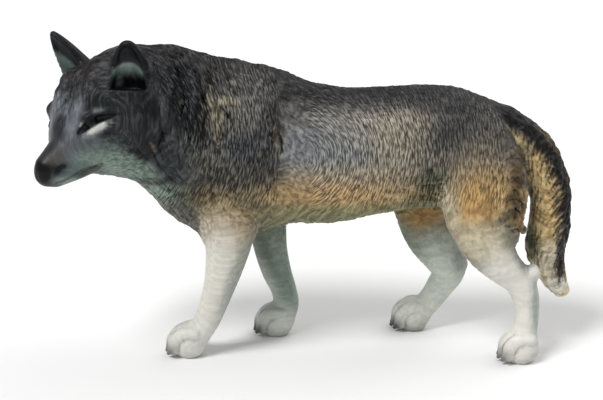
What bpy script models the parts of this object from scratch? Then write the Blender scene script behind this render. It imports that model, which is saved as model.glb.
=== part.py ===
"""Wolf figurine, cast in one piece: a walking wolf, head low and turned to its left.

Metres, +Z up. The wolf faces -Y and its left side is +X. Its paws stand on z = 0,
and the origin is under the middle of its bounding box.

The figure is laid out on one side drawing, seen from VIEW_DISTANCE away and
VIEW_TILT above the ground. A station is (across, down, offset, half width,
half depth): its place on the drawing, its distance to the left of the spine
plane in mm, and the half axes in mm of the oval section there. Limbs are lofted
through stations, then all the masses are remeshed into one skin.
"""

from math import cos, hypot, pi, radians, sin

import bmesh
import bpy
from mathutils import Matrix, Vector

# ---- driving dimensions ----
MM = 0.001
VIEW_TILT = radians(17)
VIEW_DISTANCE = 1100.0      # mm from the middle of the figure
VIEW_FOCUS = 1466.7         # drawing units per unit of slope
DRAWING_MIDDLE = (301.5, 200.0)
MIDDLE_HEIGHT = 116.4       # mm, height of the drawing's middle over the ground
HEAD_YAW = radians(48)      # head turned to the wolf's left
HEAD_PITCH = radians(15)    # head lowered
STOP = (69.4, 125.0, 31.0)  # dip between forehead and muzzle
EAR_HALF_WIDTH = 16.6
EAR_HALF_DEPTH = 9.5
EAR_WALL = 3.2
PAW_LENGTH = 1.0            # scale of a paw's plan
BODY_VOXEL = 0.0030
SKIN_VOXEL = 0.0018
SKIN_TRIANGLES = 9000
AROUND = 28                 # points around a section


def point(across, down, offset):
    """A place on the drawing, at this offset from the spine plane, in mm."""
    s, c = sin(VIEW_TILT), cos(VIEW_TILT)
    q = (DRAWING_MIDDLE[1] - down) / VIEW_FOCUS
    z = (q * (VIEW_DISTANCE - offset * c) + offset * s) / (c + q * s)
    depth = VIEW_DISTANCE - offset * c - z * s
    return Vector((offset, (across - DRAWING_MIDDLE[0]) / VIEW_FOCUS * depth, z + MIDDLE_HEIGHT))


# head frame: forward, to the wolf's left, up
FORWARD = Vector((cos(HEAD_PITCH) * sin(HEAD_YAW), -cos(HEAD_PITCH) * cos(HEAD_YAW), -sin(HEAD_PITCH)))
LEFT = Vector((cos(HEAD_YAW), sin(HEAD_YAW), 0))
UP = LEFT.cross(FORWARD) * -1
HEAD = point(*STOP) - 20 * FORWARD - 10 * UP
HEAD_AXES = (FORWARD, LEFT, UP)


def head(a, b, c):
    return HEAD + a * FORWARD + b * LEFT + c * UP


def smooth_path(rows, steps):
    """Rows of numbers passed through by a smooth curve, this many steps apart."""
    gaps = [hypot(*(b[i] - a[i] for i in range(3))) for a, b in zip(rows, rows[1:])]
    size = len(rows[0])
    slopes = []
    for i in range(len(rows)):
        if i == 0:
            slopes.append([(rows[1][j] - rows[0][j]) / gaps[0] for j in range(size)])
        elif i == len(rows) - 1:
            slopes.append([(rows[-1][j] - rows[-2][j]) / gaps[-1] for j in range(size)])
        else:
            a, b = gaps[i - 1], gaps[i]
            slopes.append([
                ((rows[i][j] - rows[i - 1][j]) / a * b + (rows[i + 1][j] - rows[i][j]) / b * a) / (a + b)
                for j in range(size)
            ])
    out = []
    for i, gap in enumerate(gaps):
        for n in range(steps):
            s = n / steps
            h0, h1 = 2 * s**3 - 3 * s**2 + 1, s**3 - 2 * s**2 + s
            h2, h3 = -2 * s**3 + 3 * s**2, s**3 - s**2
            out.append([
                h0 * rows[i][j] + h1 * gap * slopes[i][j] + h2 * rows[i + 1][j] + h3 * gap * slopes[i + 1][j]
                for j in range(size)
            ])
    return out + [list(rows[-1])]


class Solid:
    """A mesh that takes closed shapes, in mm."""

    def __init__(self):
        self.bm = bmesh.new()

    def loft(self, rings):
        """Bridges rings of points and closes both ends."""
        made = [[self.bm.verts.new(p * MM) for p in ring] for ring in rings]
        count = len(made[0])
        for a, b in zip(made, made[1:]):
            for i in range(count):
                j = (i + 1) % count
                self.bm.faces.new((a[i], a[j], b[j], b[i]))
        self.bm.faces.new(made[0][::-1])
        self.bm.faces.new(made[-1])

    def limb(self, rows, side=Vector((1, 0, 0)), steps=4, cap=None):
        rows = smooth_path([list(r) for r in rows], steps)
        centres = [Vector(r[:3]) for r in rows]
        rings = []
        for i, row in enumerate(rows):
            along = (centres[min(i + 1, len(rows) - 1)] - centres[max(i - 1, 0)]).normalized()
            across = (side - side.dot(along) * along).normalized()
            other = along.cross(across)
            reach = min(row[3], row[4]) if cap is None else cap
            ends = []
            if i == 0:
                ends = [(-reach * cos(t), sin(t)) for t in (radians(6), radians(24), radians(45), radians(67))]
            ends.append((0, 1))
            if i == len(rows) - 1:
                ends += [(reach * cos(t), sin(t)) for t in (radians(67), radians(45), radians(24), radians(6))]
            for shift, size in ends:
                rings.append([
                    centres[i] + shift * along
                    + size * (row[3] * cos(t) * across + row[4] * sin(t) * other)
                    for t in (2 * pi * n / AROUND for n in range(AROUND))
                ])
        self.loft(rings)

    def ball(self, centre, radii, axes=None):
        axes = axes or (Vector((1, 0, 0)), Vector((0, 1, 0)), Vector((0, 0, 1)))
        turn = Matrix([axes[0], axes[1], axes[2]]).transposed().to_4x4()
        size = Matrix.Diagonal((*[r * MM for r in radii], 1))
        bmesh.ops.create_uvsphere(
            self.bm, u_segments=20, v_segments=12, radius=1,
            matrix=Matrix.Translation(centre * MM) @ turn @ size,
        )

    def object(self, name):
        bmesh.ops.recalc_face_normals(self.bm, faces=self.bm.faces[:])
        mesh = bpy.data.meshes.new(name)
        self.bm.to_mesh(mesh)
        self.bm.free()
        made = bpy.data.objects.new(name, mesh)
        bpy.context.scene.collection.objects.link(made)
        return made


def stations(*rows):
    return [list(point(u, v, x)) + [wide, deep] for u, v, x, wide, deep in rows]


def head_stations(*rows):
    return [list(head(a, b, c)) + [wide, deep] for a, b, c, wide, deep in rows]


def settle(obj, voxel, rounds, factor=0.5):
    """Remeshes the overlapping masses of an object into one skin, and eases its joins."""
    remesh = obj.modifiers.new("Skin", "REMESH")
    remesh.mode = "VOXEL"
    remesh.voxel_size = voxel
    ease = obj.modifiers.new("Ease", "SMOOTH")
    ease.factor = factor
    ease.iterations = rounds
    apply_all(obj)


def apply_all(obj):
    graph = bpy.context.evaluated_depsgraph_get()
    mesh = bpy.data.meshes.new_from_object(obj.evaluated_get(graph))
    obj.modifiers.clear()
    old = obj.data
    obj.data = mesh
    bpy.data.meshes.remove(old)


def trunk_and_legs():
    solid = Solid()
    solid.limb(stations(
        (205, 160, 0, 33, 54), (214, 158, 0, 34, 57), (230, 152, 0, 36.5, 64),
        (255, 149.5, 0, 38, 63), (275, 150, 0, 38, 60), (295, 151.5, 0, 38, 54),
        (330, 154, 0, 39, 51), (365, 151, 0, 38, 47.5), (400, 147.5, 0, 36, 46),
        (435, 146, 0, 35, 45.5), (462, 146.5, 0, 34, 42), (482, 149, 0, 31, 34)), cap=16)
    solid.limb(stations(                                                    # neck and mane
        (112, 100, 12, 28, 36), (128, 102, 10, 31, 43), (146, 110, 8, 33, 50),
        (168, 118, 5, 34, 53), (195, 131, 2, 35, 56), (225, 146, 0, 35, 58)))
    solid.limb(stations(                                                    # breast
        (166, 180, 4, 14, 9), (185, 195, 4, 20, 16.5), (202, 207, 8, 19, 16), (216, 216, 14, 15, 16)))
    solid.limb(stations(                                                    # left foreleg
        (236, 118, 15, 14, 26), (230, 172, 25, 15, 30), (231, 212, 26, 14, 21),
        (229, 240, 26, 12.5, 17.5), (226, 258, 25, 11.5, 15.3), (221, 280, 24, 10.5, 12.5),
        (214, 302, 22, 9.8, 10.6), (208, 318, 21, 9.6, 9.8), (200, 331, 20.5, 10.3, 9.5)))
    solid.limb(stations(                                                    # right foreleg
        (250, 130, -20, 16, 34), (258, 185, -24, 13, 22), (267, 222, -24, 12, 15),
        (271, 250, -23.5, 11, 12.8), (277, 272, -23, 10.3, 11.3), (284, 290, -22.5, 9.6, 9.8),
        (286, 304, -22, 9.8, 10), (281, 316, -22, 10.3, 10.5)))
    solid.limb(stations(                                                    # left hind leg
        (476, 152, 16, 19, 28), (483, 188, 24, 17.5, 32), (485, 220, 27, 16, 27.5),
        (489, 246, 28.5, 13.5, 19.5), (503, 266, 29, 11, 14), (519, 281, 29, 9.3, 11.3),
        (526, 298, 29.5, 8.8, 9.8), (527, 315, 30, 8.8, 8.8), (524, 332, 31, 9.8, 9.8)))
    solid.ball(point(475, 228, 28), (12, 14, 16))                           # left knee
    solid.ball(point(533, 273, 29), (6.5, 5, 7))                            # left hock
    solid.limb(stations(                                                    # right hind leg
        (440, 160, -18, 18, 32), (428, 190, -24, 16, 27), (424, 216, -27, 14, 21),
        (435, 240, -28, 12.8, 20), (444, 258, -28.5, 11.3, 15.5), (449, 270, -29, 9.5, 12.8),
        (441, 284, -30, 9, 11), (432, 297, -31, 8.8, 9.8), (422, 308, -32, 9.5, 9.5)))
    solid.ball(point(461, 263, -29), (6, 5, 5.5))                           # right hock
    solid.limb(stations(                                                    # tail
        (478, 122, 0, 14, 18), (500, 126.5, 0, 13, 15.8), (518, 136, 0, 12.5, 14.5),
        (534, 149, 0, 12.3, 13.4), (545, 170, 0, 13, 13.6), (550, 198, 0, 13.8, 14),
        (548.5, 226, 0, 13.4, 13.8), (545, 248, 0, 12, 14.2), (550, 269, 0, 9, 9.6),
        (561.5, 289, 0, 4.5, 4.8)))
    solid.ball(head(-14, 0, -24), (24, 24, 18), HEAD_AXES)                  # throat
    return solid.object("wolf")


def skull(solid):
    solid.limb(head_stations(
        (-32, 0, 2, 28, 33), (-16, 0, 2, 30, 34), (-4, 0, 1, 29.5, 32), (5, 0, -1, 27.5, 29),
        (12, 0, -5, 25.5, 24), (18, 0, -8.5, 22.5, 19.5), (25, 0, -11, 18.5, 17.5),
        (33, 0, -12.5, 14.5, 15.5), (42, 0, -13.8, 11.5, 12.8), (49, 0, -14.5, 9.5, 10)), side=LEFT)
    solid.limb(head_stations(                                               # bridge of the muzzle
        (14, 0, 4, 8, 5), (28, 0, 0.5, 8, 5), (40, 0, -3.8, 7.5, 5), (49, 0, -7, 7, 5)), side=LEFT)
    solid.limb(head_stations(                                               # lower jaw
        (2, 0, -22, 18, 10), (20, 0, -22, 13, 8), (34, 0, -21.5, 9.5, 6.5), (44, 0, -21.5, 7, 5)), side=LEFT)
    solid.ball(head(51.5, 0, -11.5), (5.4, 7, 5.6), HEAD_AXES)              # nose
    for s in (1, -1):
        solid.ball(head(-6, 21 * s, -14), (16, 12, 16), HEAD_AXES)          # cheek
        solid.ball(head(14, 15 * s, 17), (8, 9, 6), HEAD_AXES)              # brow
        solid.ball(head(8, 12 * s, 25), (9, 9, 8), HEAD_AXES)
    solid.limb(head_stations(                                               # cheek ruffs
        (4, 24, -14, 8, 8), (-8, 29, -22, 9, 10), (-18, 32, -30, 8, 9), (-27, 34, -37, 4, 4)), side=UP)
    solid.limb(head_stations(
        (4, -24, -14, 8, 8), (-8, -28, -20, 9, 10), (-20, -29, -25, 9, 10)), side=UP)
    solid.ball(head(-4, -10, 33), (12, 13, 8), HEAD_AXES)                   # right side of the crown
    solid.ball(head(-26, -8, -8), (22, 26, 32), HEAD_AXES)                  # nape
    for s in (1, -1):
        solid.limb([list(head(a, b * s, c)) + [r, r] for a, b, c, r in (    # upper lid
            (24, 9.5, -1, 1.2), (23.6, 13.5, 5.2, 2.4), (19.5, 19.5, 7, 2.6), (11, 23, 5.6, 1.6))], side=UP)


def ear(solid, base, tip, turn, taper):
    """A cupped leaf: crescent sections from the root, where it is full, to the tip."""
    up = (tip - base).normalized()
    face = (FORWARD + turn * LEFT).normalized()
    face = (face - face.dot(up) * up).normalized()
    side = up.cross(face)
    height = (tip - base).length
    rings = []
    for n in range(-2, 19):
        k = n / 18
        size = max(1 - max(k, 0) ** taper[0], 0) ** taper[1] * (1 - taper[2] * max(k, 0))
        wide, deep = EAR_HALF_WIDTH * size + 1.3, EAR_HALF_DEPTH * size + 1.3
        hollow = min(max((k * height - 7) / 6, 0), 1)
        wall = min(EAR_WALL, 0.55 * deep)
        back, front = [], []
        for i in range(13):
            turn = radians(104) * (i / 6 - 1)
            back.append((wide * sin(turn), -deep * cos(turn)))
            scoop = -(deep - wall) * cos(turn * 0.94) + 0.6
            full = deep * cos(turn * 0.72)
            front.append(((wide - wall * hollow) * sin(turn * 0.94), scoop * hollow + full * (1 - hollow)))
        ring = back + front[::-1]
        rings.append([base + up * (k * height) + side * x + face * y for x, y in ring])
    solid.loft(rings)


def paw(solid, across, down, offset, yaw):
    """A rounded foot of four toes, its sole flat on the ground."""
    centre = point(across, down, offset)
    centre.z = 0
    fore = Vector((sin(yaw), -cos(yaw), 0))
    left = Vector((cos(yaw), sin(yaw), 0))

    def at(a, b, z):
        return centre + PAW_LENGTH * (a * fore + b * left) + Vector((0, 0, z))

    solid.ball(at(-1, 0, 11.5), (13.5, 12.5, 14.5), (fore, left, Vector((0, 0, 1))))
    for b, a in ((-9.3, -2.0), (-3.3, 1.0), (3.3, 1.0), (9.3, -2.0)):
        solid.limb([
            list(at(a - 6, b * 0.8, 20)) + [4.2, 4.6], list(at(a + 3, b * 0.95, 19.5)) + [4.4, 5.0],
            list(at(a + 9, b, 13.5)) + [4.5, 5.2], list(at(a + 10.5, b, 7)) + [4.2, 4.6],
        ], side=left)


def wolf():
    figure = trunk_and_legs()
    settle(figure, BODY_VOXEL, 14)
    detail = Solid()
    skull(detail)
    ear(detail, head(-17, 31, 11), head(-23, 33, 62), 0.625, (2.2, 0.5, 0.18))
    ear(detail, head(-17, -22, 29), head(-11, -35, 65), -0.05, (1.3, 0.75, 0.0))
    paw(detail, 188, 349, 20.5, radians(-12))
    paw(detail, 275, 325, -22, radians(-12))
    paw(detail, 519, 354, 32, radians(-6))
    paw(detail, 411, 318, -33, radians(-6))
    detail.bm.from_mesh(figure.data)
    old = figure.data
    mesh = bpy.data.meshes.new("wolf")
    bmesh.ops.recalc_face_normals(detail.bm, faces=detail.bm.faces[:])
    detail.bm.to_mesh(mesh)
    detail.bm.free()
    figure.data = mesh
    bpy.data.meshes.remove(old)
    settle(figure, SKIN_VOXEL, 4)

    figure.data.calc_loop_triangles()
    thin = figure.modifiers.new("Thin", "DECIMATE")
    thin.ratio = SKIN_TRIANGLES / len(figure.data.loop_triangles)
    apply_all(figure)

    # the soles are cut flat where they stand
    bpy.ops.mesh.primitive_cube_add(size=1, location=(0, 0, -0.05))
    ground = bpy.context.object
    ground.scale = (1, 1, 0.1)
    bpy.context.view_layer.update()
    cut = figure.modifiers.new("Soles", "BOOLEAN")
    cut.operation = "DIFFERENCE"
    cut.object = ground
    apply_all(figure)
    bpy.data.objects.remove(ground)

    # the origin goes under the middle of the figure
    xs = [v.co.x for v in figure.data.vertices]
    ys = [v.co.y for v in figure.data.vertices]
    figure.data.transform(Matrix.Translation((-(min(xs) + max(xs)) / 2, -(min(ys) + max(ys)) / 2, 0)))

    figure.data.shade_smooth()
    paint = bpy.data.materials.new("painted_resin")
    paint.use_nodes = True
    shader = paint.node_tree.nodes["Principled BSDF"]
    shader.inputs["Base Color"].default_value = (0.16, 0.15, 0.14, 1)
    shader.inputs["Roughness"].default_value = 0.42
    shader.inputs["Metallic"].default_value = 0.0
    figure.data.materials.clear()
    figure.data.materials.append(paint)


for old_object in list(bpy.data.objects):
    bpy.data.objects.remove(old_object)
wolf()
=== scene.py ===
"""Wolf figurine: the carved and airbrushed skin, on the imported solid.

Lengths are in mm in the tables, and the figure is laid out on one side drawing:
a station is (across, down, offset, half width, half depth), as in the part's source.
"""

from concurrent.futures import ThreadPoolExecutor
from math import cos, radians, sin, sqrt

import bpy
import numpy as np
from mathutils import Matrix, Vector, kdtree


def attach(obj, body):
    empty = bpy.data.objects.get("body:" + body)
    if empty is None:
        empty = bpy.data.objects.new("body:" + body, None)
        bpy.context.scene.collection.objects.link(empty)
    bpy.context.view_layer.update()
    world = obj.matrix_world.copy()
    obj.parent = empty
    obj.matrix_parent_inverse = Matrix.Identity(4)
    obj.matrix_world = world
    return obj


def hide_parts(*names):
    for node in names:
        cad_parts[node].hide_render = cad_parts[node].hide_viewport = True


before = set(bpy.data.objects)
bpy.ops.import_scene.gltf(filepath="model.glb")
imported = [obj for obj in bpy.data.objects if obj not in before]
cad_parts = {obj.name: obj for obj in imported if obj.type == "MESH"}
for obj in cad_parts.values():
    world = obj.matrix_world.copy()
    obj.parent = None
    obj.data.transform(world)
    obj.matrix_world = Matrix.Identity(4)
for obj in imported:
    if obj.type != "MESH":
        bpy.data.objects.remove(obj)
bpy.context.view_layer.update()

# ---------------------------------------------------------------- layout
VIEW_TILT = radians(17)
VIEW_DISTANCE = 1100.0
VIEW_FOCUS = 1466.7
DRAWING_MIDDLE = (301.5, 200.0)
MIDDLE_HEIGHT = 116.4
ORIGIN = np.array([4.42, 5.16, 0.0])      # the part's origin, in the layout
HEAD_YAW, HEAD_PITCH = radians(48), radians(15)
STOP = (69.4, 125.0, 31.0)
VOXEL = 1.15
TRIANGLES = 196000
rng = np.random.default_rng(7)


def point(u, v, x):
    s, c = sin(VIEW_TILT), cos(VIEW_TILT)
    q = (DRAWING_MIDDLE[1] - v) / VIEW_FOCUS
    z = (q * (VIEW_DISTANCE - x * c) + x * s) / (c + q * s)
    depth = VIEW_DISTANCE - x * c - z * s
    return np.array([x, (u - DRAWING_MIDDLE[0]) / VIEW_FOCUS * depth, z + MIDDLE_HEIGHT])


def on_drawing(p):
    s, c = sin(VIEW_TILT), cos(VIEW_TILT)
    x, y, z = p[..., 0], p[..., 1], p[..., 2] - MIDDLE_HEIGHT
    depth = VIEW_DISTANCE - x * c - z * s
    return np.stack([DRAWING_MIDDLE[0] + VIEW_FOCUS * y / depth,
                     DRAWING_MIDDLE[1] - VIEW_FOCUS * (-x * s + z * c) / depth], -1)


HF = np.array([cos(HEAD_PITCH) * sin(HEAD_YAW), -cos(HEAD_PITCH) * cos(HEAD_YAW), -sin(HEAD_PITCH)])
HL = np.array([cos(HEAD_YAW), sin(HEAD_YAW), 0.0])
HU = np.array([sin(HEAD_PITCH) * sin(HEAD_YAW), -sin(HEAD_PITCH) * cos(HEAD_YAW), cos(HEAD_PITCH)])
HC = point(*STOP) - 20 * HF - 10 * HU
HEAD_AXES = (HF, HL, HU)


def head(a, b, c):
    return HC + a * HF + b * HL + c * HU


def head_rows(*rows):
    return [list(head(a, b, c)) + [ru, rv] for a, b, c, ru, rv in rows]


def stations(*rows):
    return [list(point(u, v, x)) + [ru, rv] for u, v, x, ru, rv in rows]


def unit(v):
    v = np.asarray(v, float)
    return v / (np.linalg.norm(v, axis=-1, keepdims=True) + 1e-12)


def smooth(x, a, b):
    t = np.clip((x - a) / (b - a), 0, 1)
    return t * t * (3 - 2 * t)


# ---------------------------------------------------------------- masses
def blend_min(a, b, k):
    if k <= 0:
        return np.minimum(a, b)
    h = np.clip(0.5 + 0.5 * (b - a) / k, 0, 1)
    return b + (a - b) * h - k * h * (1 - h)


def smooth_path(rows, steps):
    n = np.asarray(rows, float)
    t = np.concatenate([[0], np.cumsum(np.linalg.norm(np.diff(n[:, :3], axis=0), axis=1))])
    m = np.zeros_like(n)
    for i in range(len(n)):
        if i == 0:
            m[i] = (n[1] - n[0]) / (t[1] - t[0])
        elif i == len(n) - 1:
            m[i] = (n[-1] - n[-2]) / (t[-1] - t[-2])
        else:
            a, b = t[i] - t[i - 1], t[i + 1] - t[i]
            m[i] = ((n[i] - n[i - 1]) / a * b + (n[i + 1] - n[i]) / b * a) / (a + b)
    out = []
    for i in range(len(n) - 1):
        gap = t[i + 1] - t[i]
        for j in range(steps):
            s = j / steps
            out.append((2 * s**3 - 3 * s**2 + 1) * n[i] + (s**3 - 2 * s**2 + s) * gap * m[i]
                       + (-2 * s**3 + 3 * s**2) * n[i + 1] + (s**3 - s**2) * gap * m[i + 1])
    out.append(n[-1])
    return np.array(out)


class Limb:
    """A chain of oval sections."""

    def __init__(self, rows, k, side=(1, 0, 0), steps=4, cap=None, cut=False, group="trunk"):
        self.rows = smooth_path(rows, steps)
        self.k, self.side, self.cap, self.cut, self.group = k, unit(side), cap, cut, group
        r = self.rows[:, 3:5].max(1)[:, None]
        self.lo, self.hi = (self.rows[:, :3] - r).min(0), (self.rows[:, :3] + r).max(0)

    def dist(self, p):
        best = np.full(len(p), 1e3, np.float32)
        for a, b in zip(self.rows[:-1], self.rows[1:]):
            ab = b[:3] - a[:3]
            L2 = ab @ ab
            T = ab / sqrt(L2)
            S = unit(self.side - (self.side @ T) * T)
            V = np.cross(T, S)
            off = p - a[:3]
            t = np.clip(off @ ab / L2, 0, 1)
            off = off - t[:, None] * ab
            ru, rv = a[3] + t * (b[3] - a[3]), a[4] + t * (b[4] - a[4])
            re = np.minimum(ru, rv) if self.cap is None else self.cap
            x, y, z = off @ S, off @ V, off @ T
            k0 = np.sqrt((x / ru) ** 2 + (y / rv) ** 2 + (z / re) ** 2) + 1e-9
            k1 = np.sqrt((x / ru**2) ** 2 + (y / rv**2) ** 2 + (z / re**2) ** 2) + 1e-9
            best = np.minimum(best, k0 * (k0 - 1) / k1)
        return best


class Ball:
    def __init__(self, c, r, k, axes=None, cut=False, group="trunk"):
        self.c, self.r = np.asarray(c, float), np.asarray(r, float)
        self.k, self.cut, self.group = k, cut, group
        self.m = np.eye(3) if axes is None else np.array([unit(a) for a in axes])
        e = np.abs(self.m.T) @ self.r
        self.lo, self.hi = self.c - e, self.c + e

    def dist(self, p):
        q = (p - self.c) @ self.m.T
        k0 = np.sqrt(((q / self.r) ** 2).sum(1)) + 1e-9
        k1 = np.sqrt(((q / self.r**2) ** 2).sum(1)) + 1e-9
        return k0 * (k0 - 1) / k1


class Ear:
    """A cupped leaf, full at its root."""

    def __init__(self, base, tip, turn, floor, taper):
        self.base, self.up, self.taper = base, unit(tip - base), taper
        face = unit(HF + turn * HL)
        self.face = unit(face - (face @ self.up) * self.up)
        self.side = np.cross(self.up, self.face)
        self.high, self.floor = np.linalg.norm(tip - base), floor
        self.k, self.cut, self.group = 3.0, False, "ear"
        self.lo, self.hi = np.minimum(base, tip) - 18, np.maximum(base, tip) + 18

    def form(self, p, w, t, high, shift):
        q = p - self.base
        z, y, x = q @ self.up, q @ self.face - shift, q @ self.side
        k = np.clip(z / high, 0, 1)
        size = np.maximum(1 - k ** self.taper[0], 0) ** self.taper[1] * (1 - self.taper[2] * k)
        ww, tt = w * size + 1.2, t * size + 1.2
        r = np.sqrt((x / ww) ** 2 + (y / tt) ** 2)
        return np.maximum(np.maximum((r - 1) * np.minimum(ww, tt), (z - high) * 0.9), -z - 8)

    def dist(self, p):
        inside = self.form(p, 14.0, 8.4, self.high - 2.8, 3.8)
        inside = np.maximum(inside, self.floor - (p - self.base) @ self.up)
        return -blend_min(-self.form(p, 16.6, 9.5, self.high, 0.0), inside, 1.2)


class EarHollow(Ear):
    """The mouth of an ear's cup, cut through whatever lies before it."""

    def __init__(self, *args):
        super().__init__(*args)
        self.k, self.cut = 1.2, True

    def dist(self, p):
        q = p - self.base
        opening = self.form(p, 13.6, 17.0, self.high - 2.8, 12.4)
        return np.maximum(opening, self.floor + 0.4 * np.maximum(q @ self.face, 0) - q @ self.up)


def paw(u, v, x, yaw, group):
    c = point(u, v, x)
    c[2] = 0
    fw = np.array([sin(yaw), -cos(yaw), 0])
    lf = np.array([cos(yaw), sin(yaw), 0])
    up = np.array([0, 0, 1.0])

    def at(a, b, z):
        return list(c + a * fw + b * lf + z * up)

    made = [Ball(at(-1, 0, 11.5), (13.5, 12.5, 14.5), 4, (fw, lf, up), group=group)]
    for b, a in ((-9.3, -2.0), (-3.3, 1.0), (3.3, 1.0), (9.3, -2.0)):
        made.append(Limb([at(a - 6, b * 0.8, 20) + [4.2, 4.6], at(a + 3, b * 0.95, 19.5) + [4.4, 5.0],
                          at(a + 9, b, 13.5) + [4.5, 5.2], at(a + 10.5, b, 7) + [4.2, 4.6]],
                         0.5, side=lf, group=group))
        made.append(Limb([at(a + 12, b, 8) + [1.9, 2.2], at(a + 14.6, b, 3.6) + [1.3, 1.5]],
                         0.8, side=lf, group=group))
    return made


def met(masses, u, v):
    """Where the line through this place on the drawing meets the near side."""
    p = np.array([point(u, v, x) for x in np.arange(70, -20, -0.5)])
    d = np.full(len(p), 60.0)
    for m in masses:
        d = -blend_min(-d, m.dist(p), m.k) if m.cut else blend_min(d, m.dist(p), m.k)
    hit = np.nonzero(d < 0)[0]
    return p[hit[0] if len(hit) else int(np.argmin(d))]


def met_from_the_side(masses, u, v):
    """The same place in the head's axes."""
    q = met(masses, u, v) - HC
    return np.array([q @ HF, q @ HL, q @ HU])


# tufts and the creases between them: (across, down, radius) rows, whether it is a crease, colour, strength
TUFTS = [
    ([(207.7, 71, 0.9), (212, 81, 1.8), (216, 90, 0.8)], True, (14, 15, 19), 0.9),
    ([(224.7, 71, 0.9), (228.5, 80, 1.7), (231, 89, 0.8)], True, (16, 16, 20), 0.9),
    ([(221.5, 108, 0.9), (229, 116, 2.0), (234, 126, 0.9)], True, (16, 17, 21), 0.9),
    ([(221, 129, 0.9), (219, 138, 1.8), (218, 146, 0.8)], True, (18, 20, 22), 0.85),
    ([(270, 128, 0.9), (272, 134, 1.8), (271, 141, 0.9)], True, (20, 21, 24), 0.9),
    ([(276, 129, 0.9), (281, 141, 1.9), (283, 153, 0.9)], True, (20, 21, 24), 0.9),
    ([(191, 66, 1), (199, 84, 2.0), (204, 104, 1)], True, (9, 10, 14), 0.9),
    ([(172, 60, 1), (182, 80, 2.2), (184, 104, 2.0), (178, 124, 1)], True, (9, 10, 14), 0.9),
    ([(205, 95, 1), (207, 112, 2.0), (203, 130, 1.8), (207, 146, 1)], True, (12, 13, 17), 0.85),
    ([(186, 128, 1), (190, 142, 1.8), (184, 158, 1)], True, (24, 28, 30), 0.8),
    ([(160, 110, 1), (165, 128, 2.0), (160, 146, 1.8), (164, 160, 1)], True, (14, 17, 20), 0.8),
    ([(154, 152, 1), (160, 166, 1.6), (172, 178, 0.9)], True, (52, 62, 58), 0.7),
    ([(218, 103, 1.3), (228, 101, 2.7), (239, 104, 1.2)], False, (150, 142, 120), 0.75),
    ([(210, 88, 1.2), (211, 102, 2.2), (214, 113, 2.4), (222, 121, 2.2), (219, 131, 2.2), (217, 143, 1.2)],
     False, (118, 112, 94), 0.7),
    ([(262, 112, 1), (268, 126, 2.2), (266, 142, 2.4), (260, 156, 1.4)], False, (78, 76, 74), 0.5),
    ([(275, 126, 1), (277, 140, 2.2), (276, 154, 1.4)], False, (112, 100, 82), 0.6),
    ([(290, 120, 1.2), (291, 110, 2.2), (299, 105, 2.4), (307, 111, 2.2), (304, 121, 2.0), (297, 123, 1.2)],
     False, (104, 102, 100), 0.5),
    ([(150, 58, 1.2), (163, 72, 2.8), (168, 92, 3.0), (163, 112, 2.8), (166, 130, 1.4)], False, (34, 38, 48), 0.5),
    ([(180, 60, 1.2), (192, 76, 2.6), (196, 94, 2.8), (193, 112, 2.6), (196, 128, 1.4)], False, (30, 34, 42), 0.5),
    ([(174, 110, 1.2), (177, 128, 2.6), (172, 146, 2.6), (176, 160, 1.4)], False, (44, 52, 56), 0.5),
    ([(190, 150, 1.0), (182, 166, 2.0), (186, 180, 1.0)], False, (98, 100, 84), 0.5),
]
for step in range(8):
    v0 = 157 + 10.4 * step + 2.6 * sin(2.4 * step)
    far = 2.0 * sin(1.7 * step + 1)
    TUFTS.append(([(507 - far, v0 - 1, 0.7), (512, v0 - 4.5, 1.5), (518 + 0.5 * far, v0 - 3, 2.0), (522 + far, v0 + 3, 1.7)],
                  False, (112, 92, 60), 0.4))
    TUFTS.append(([(509 - far, v0 + 3, 0.4), (514, v0 + 1, 0.8), (519 + 0.5 * far, v0 + 3, 0.8), (521 + far, v0 + 7, 0.4)],
                  True, (56, 46, 32), 0.5))


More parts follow.
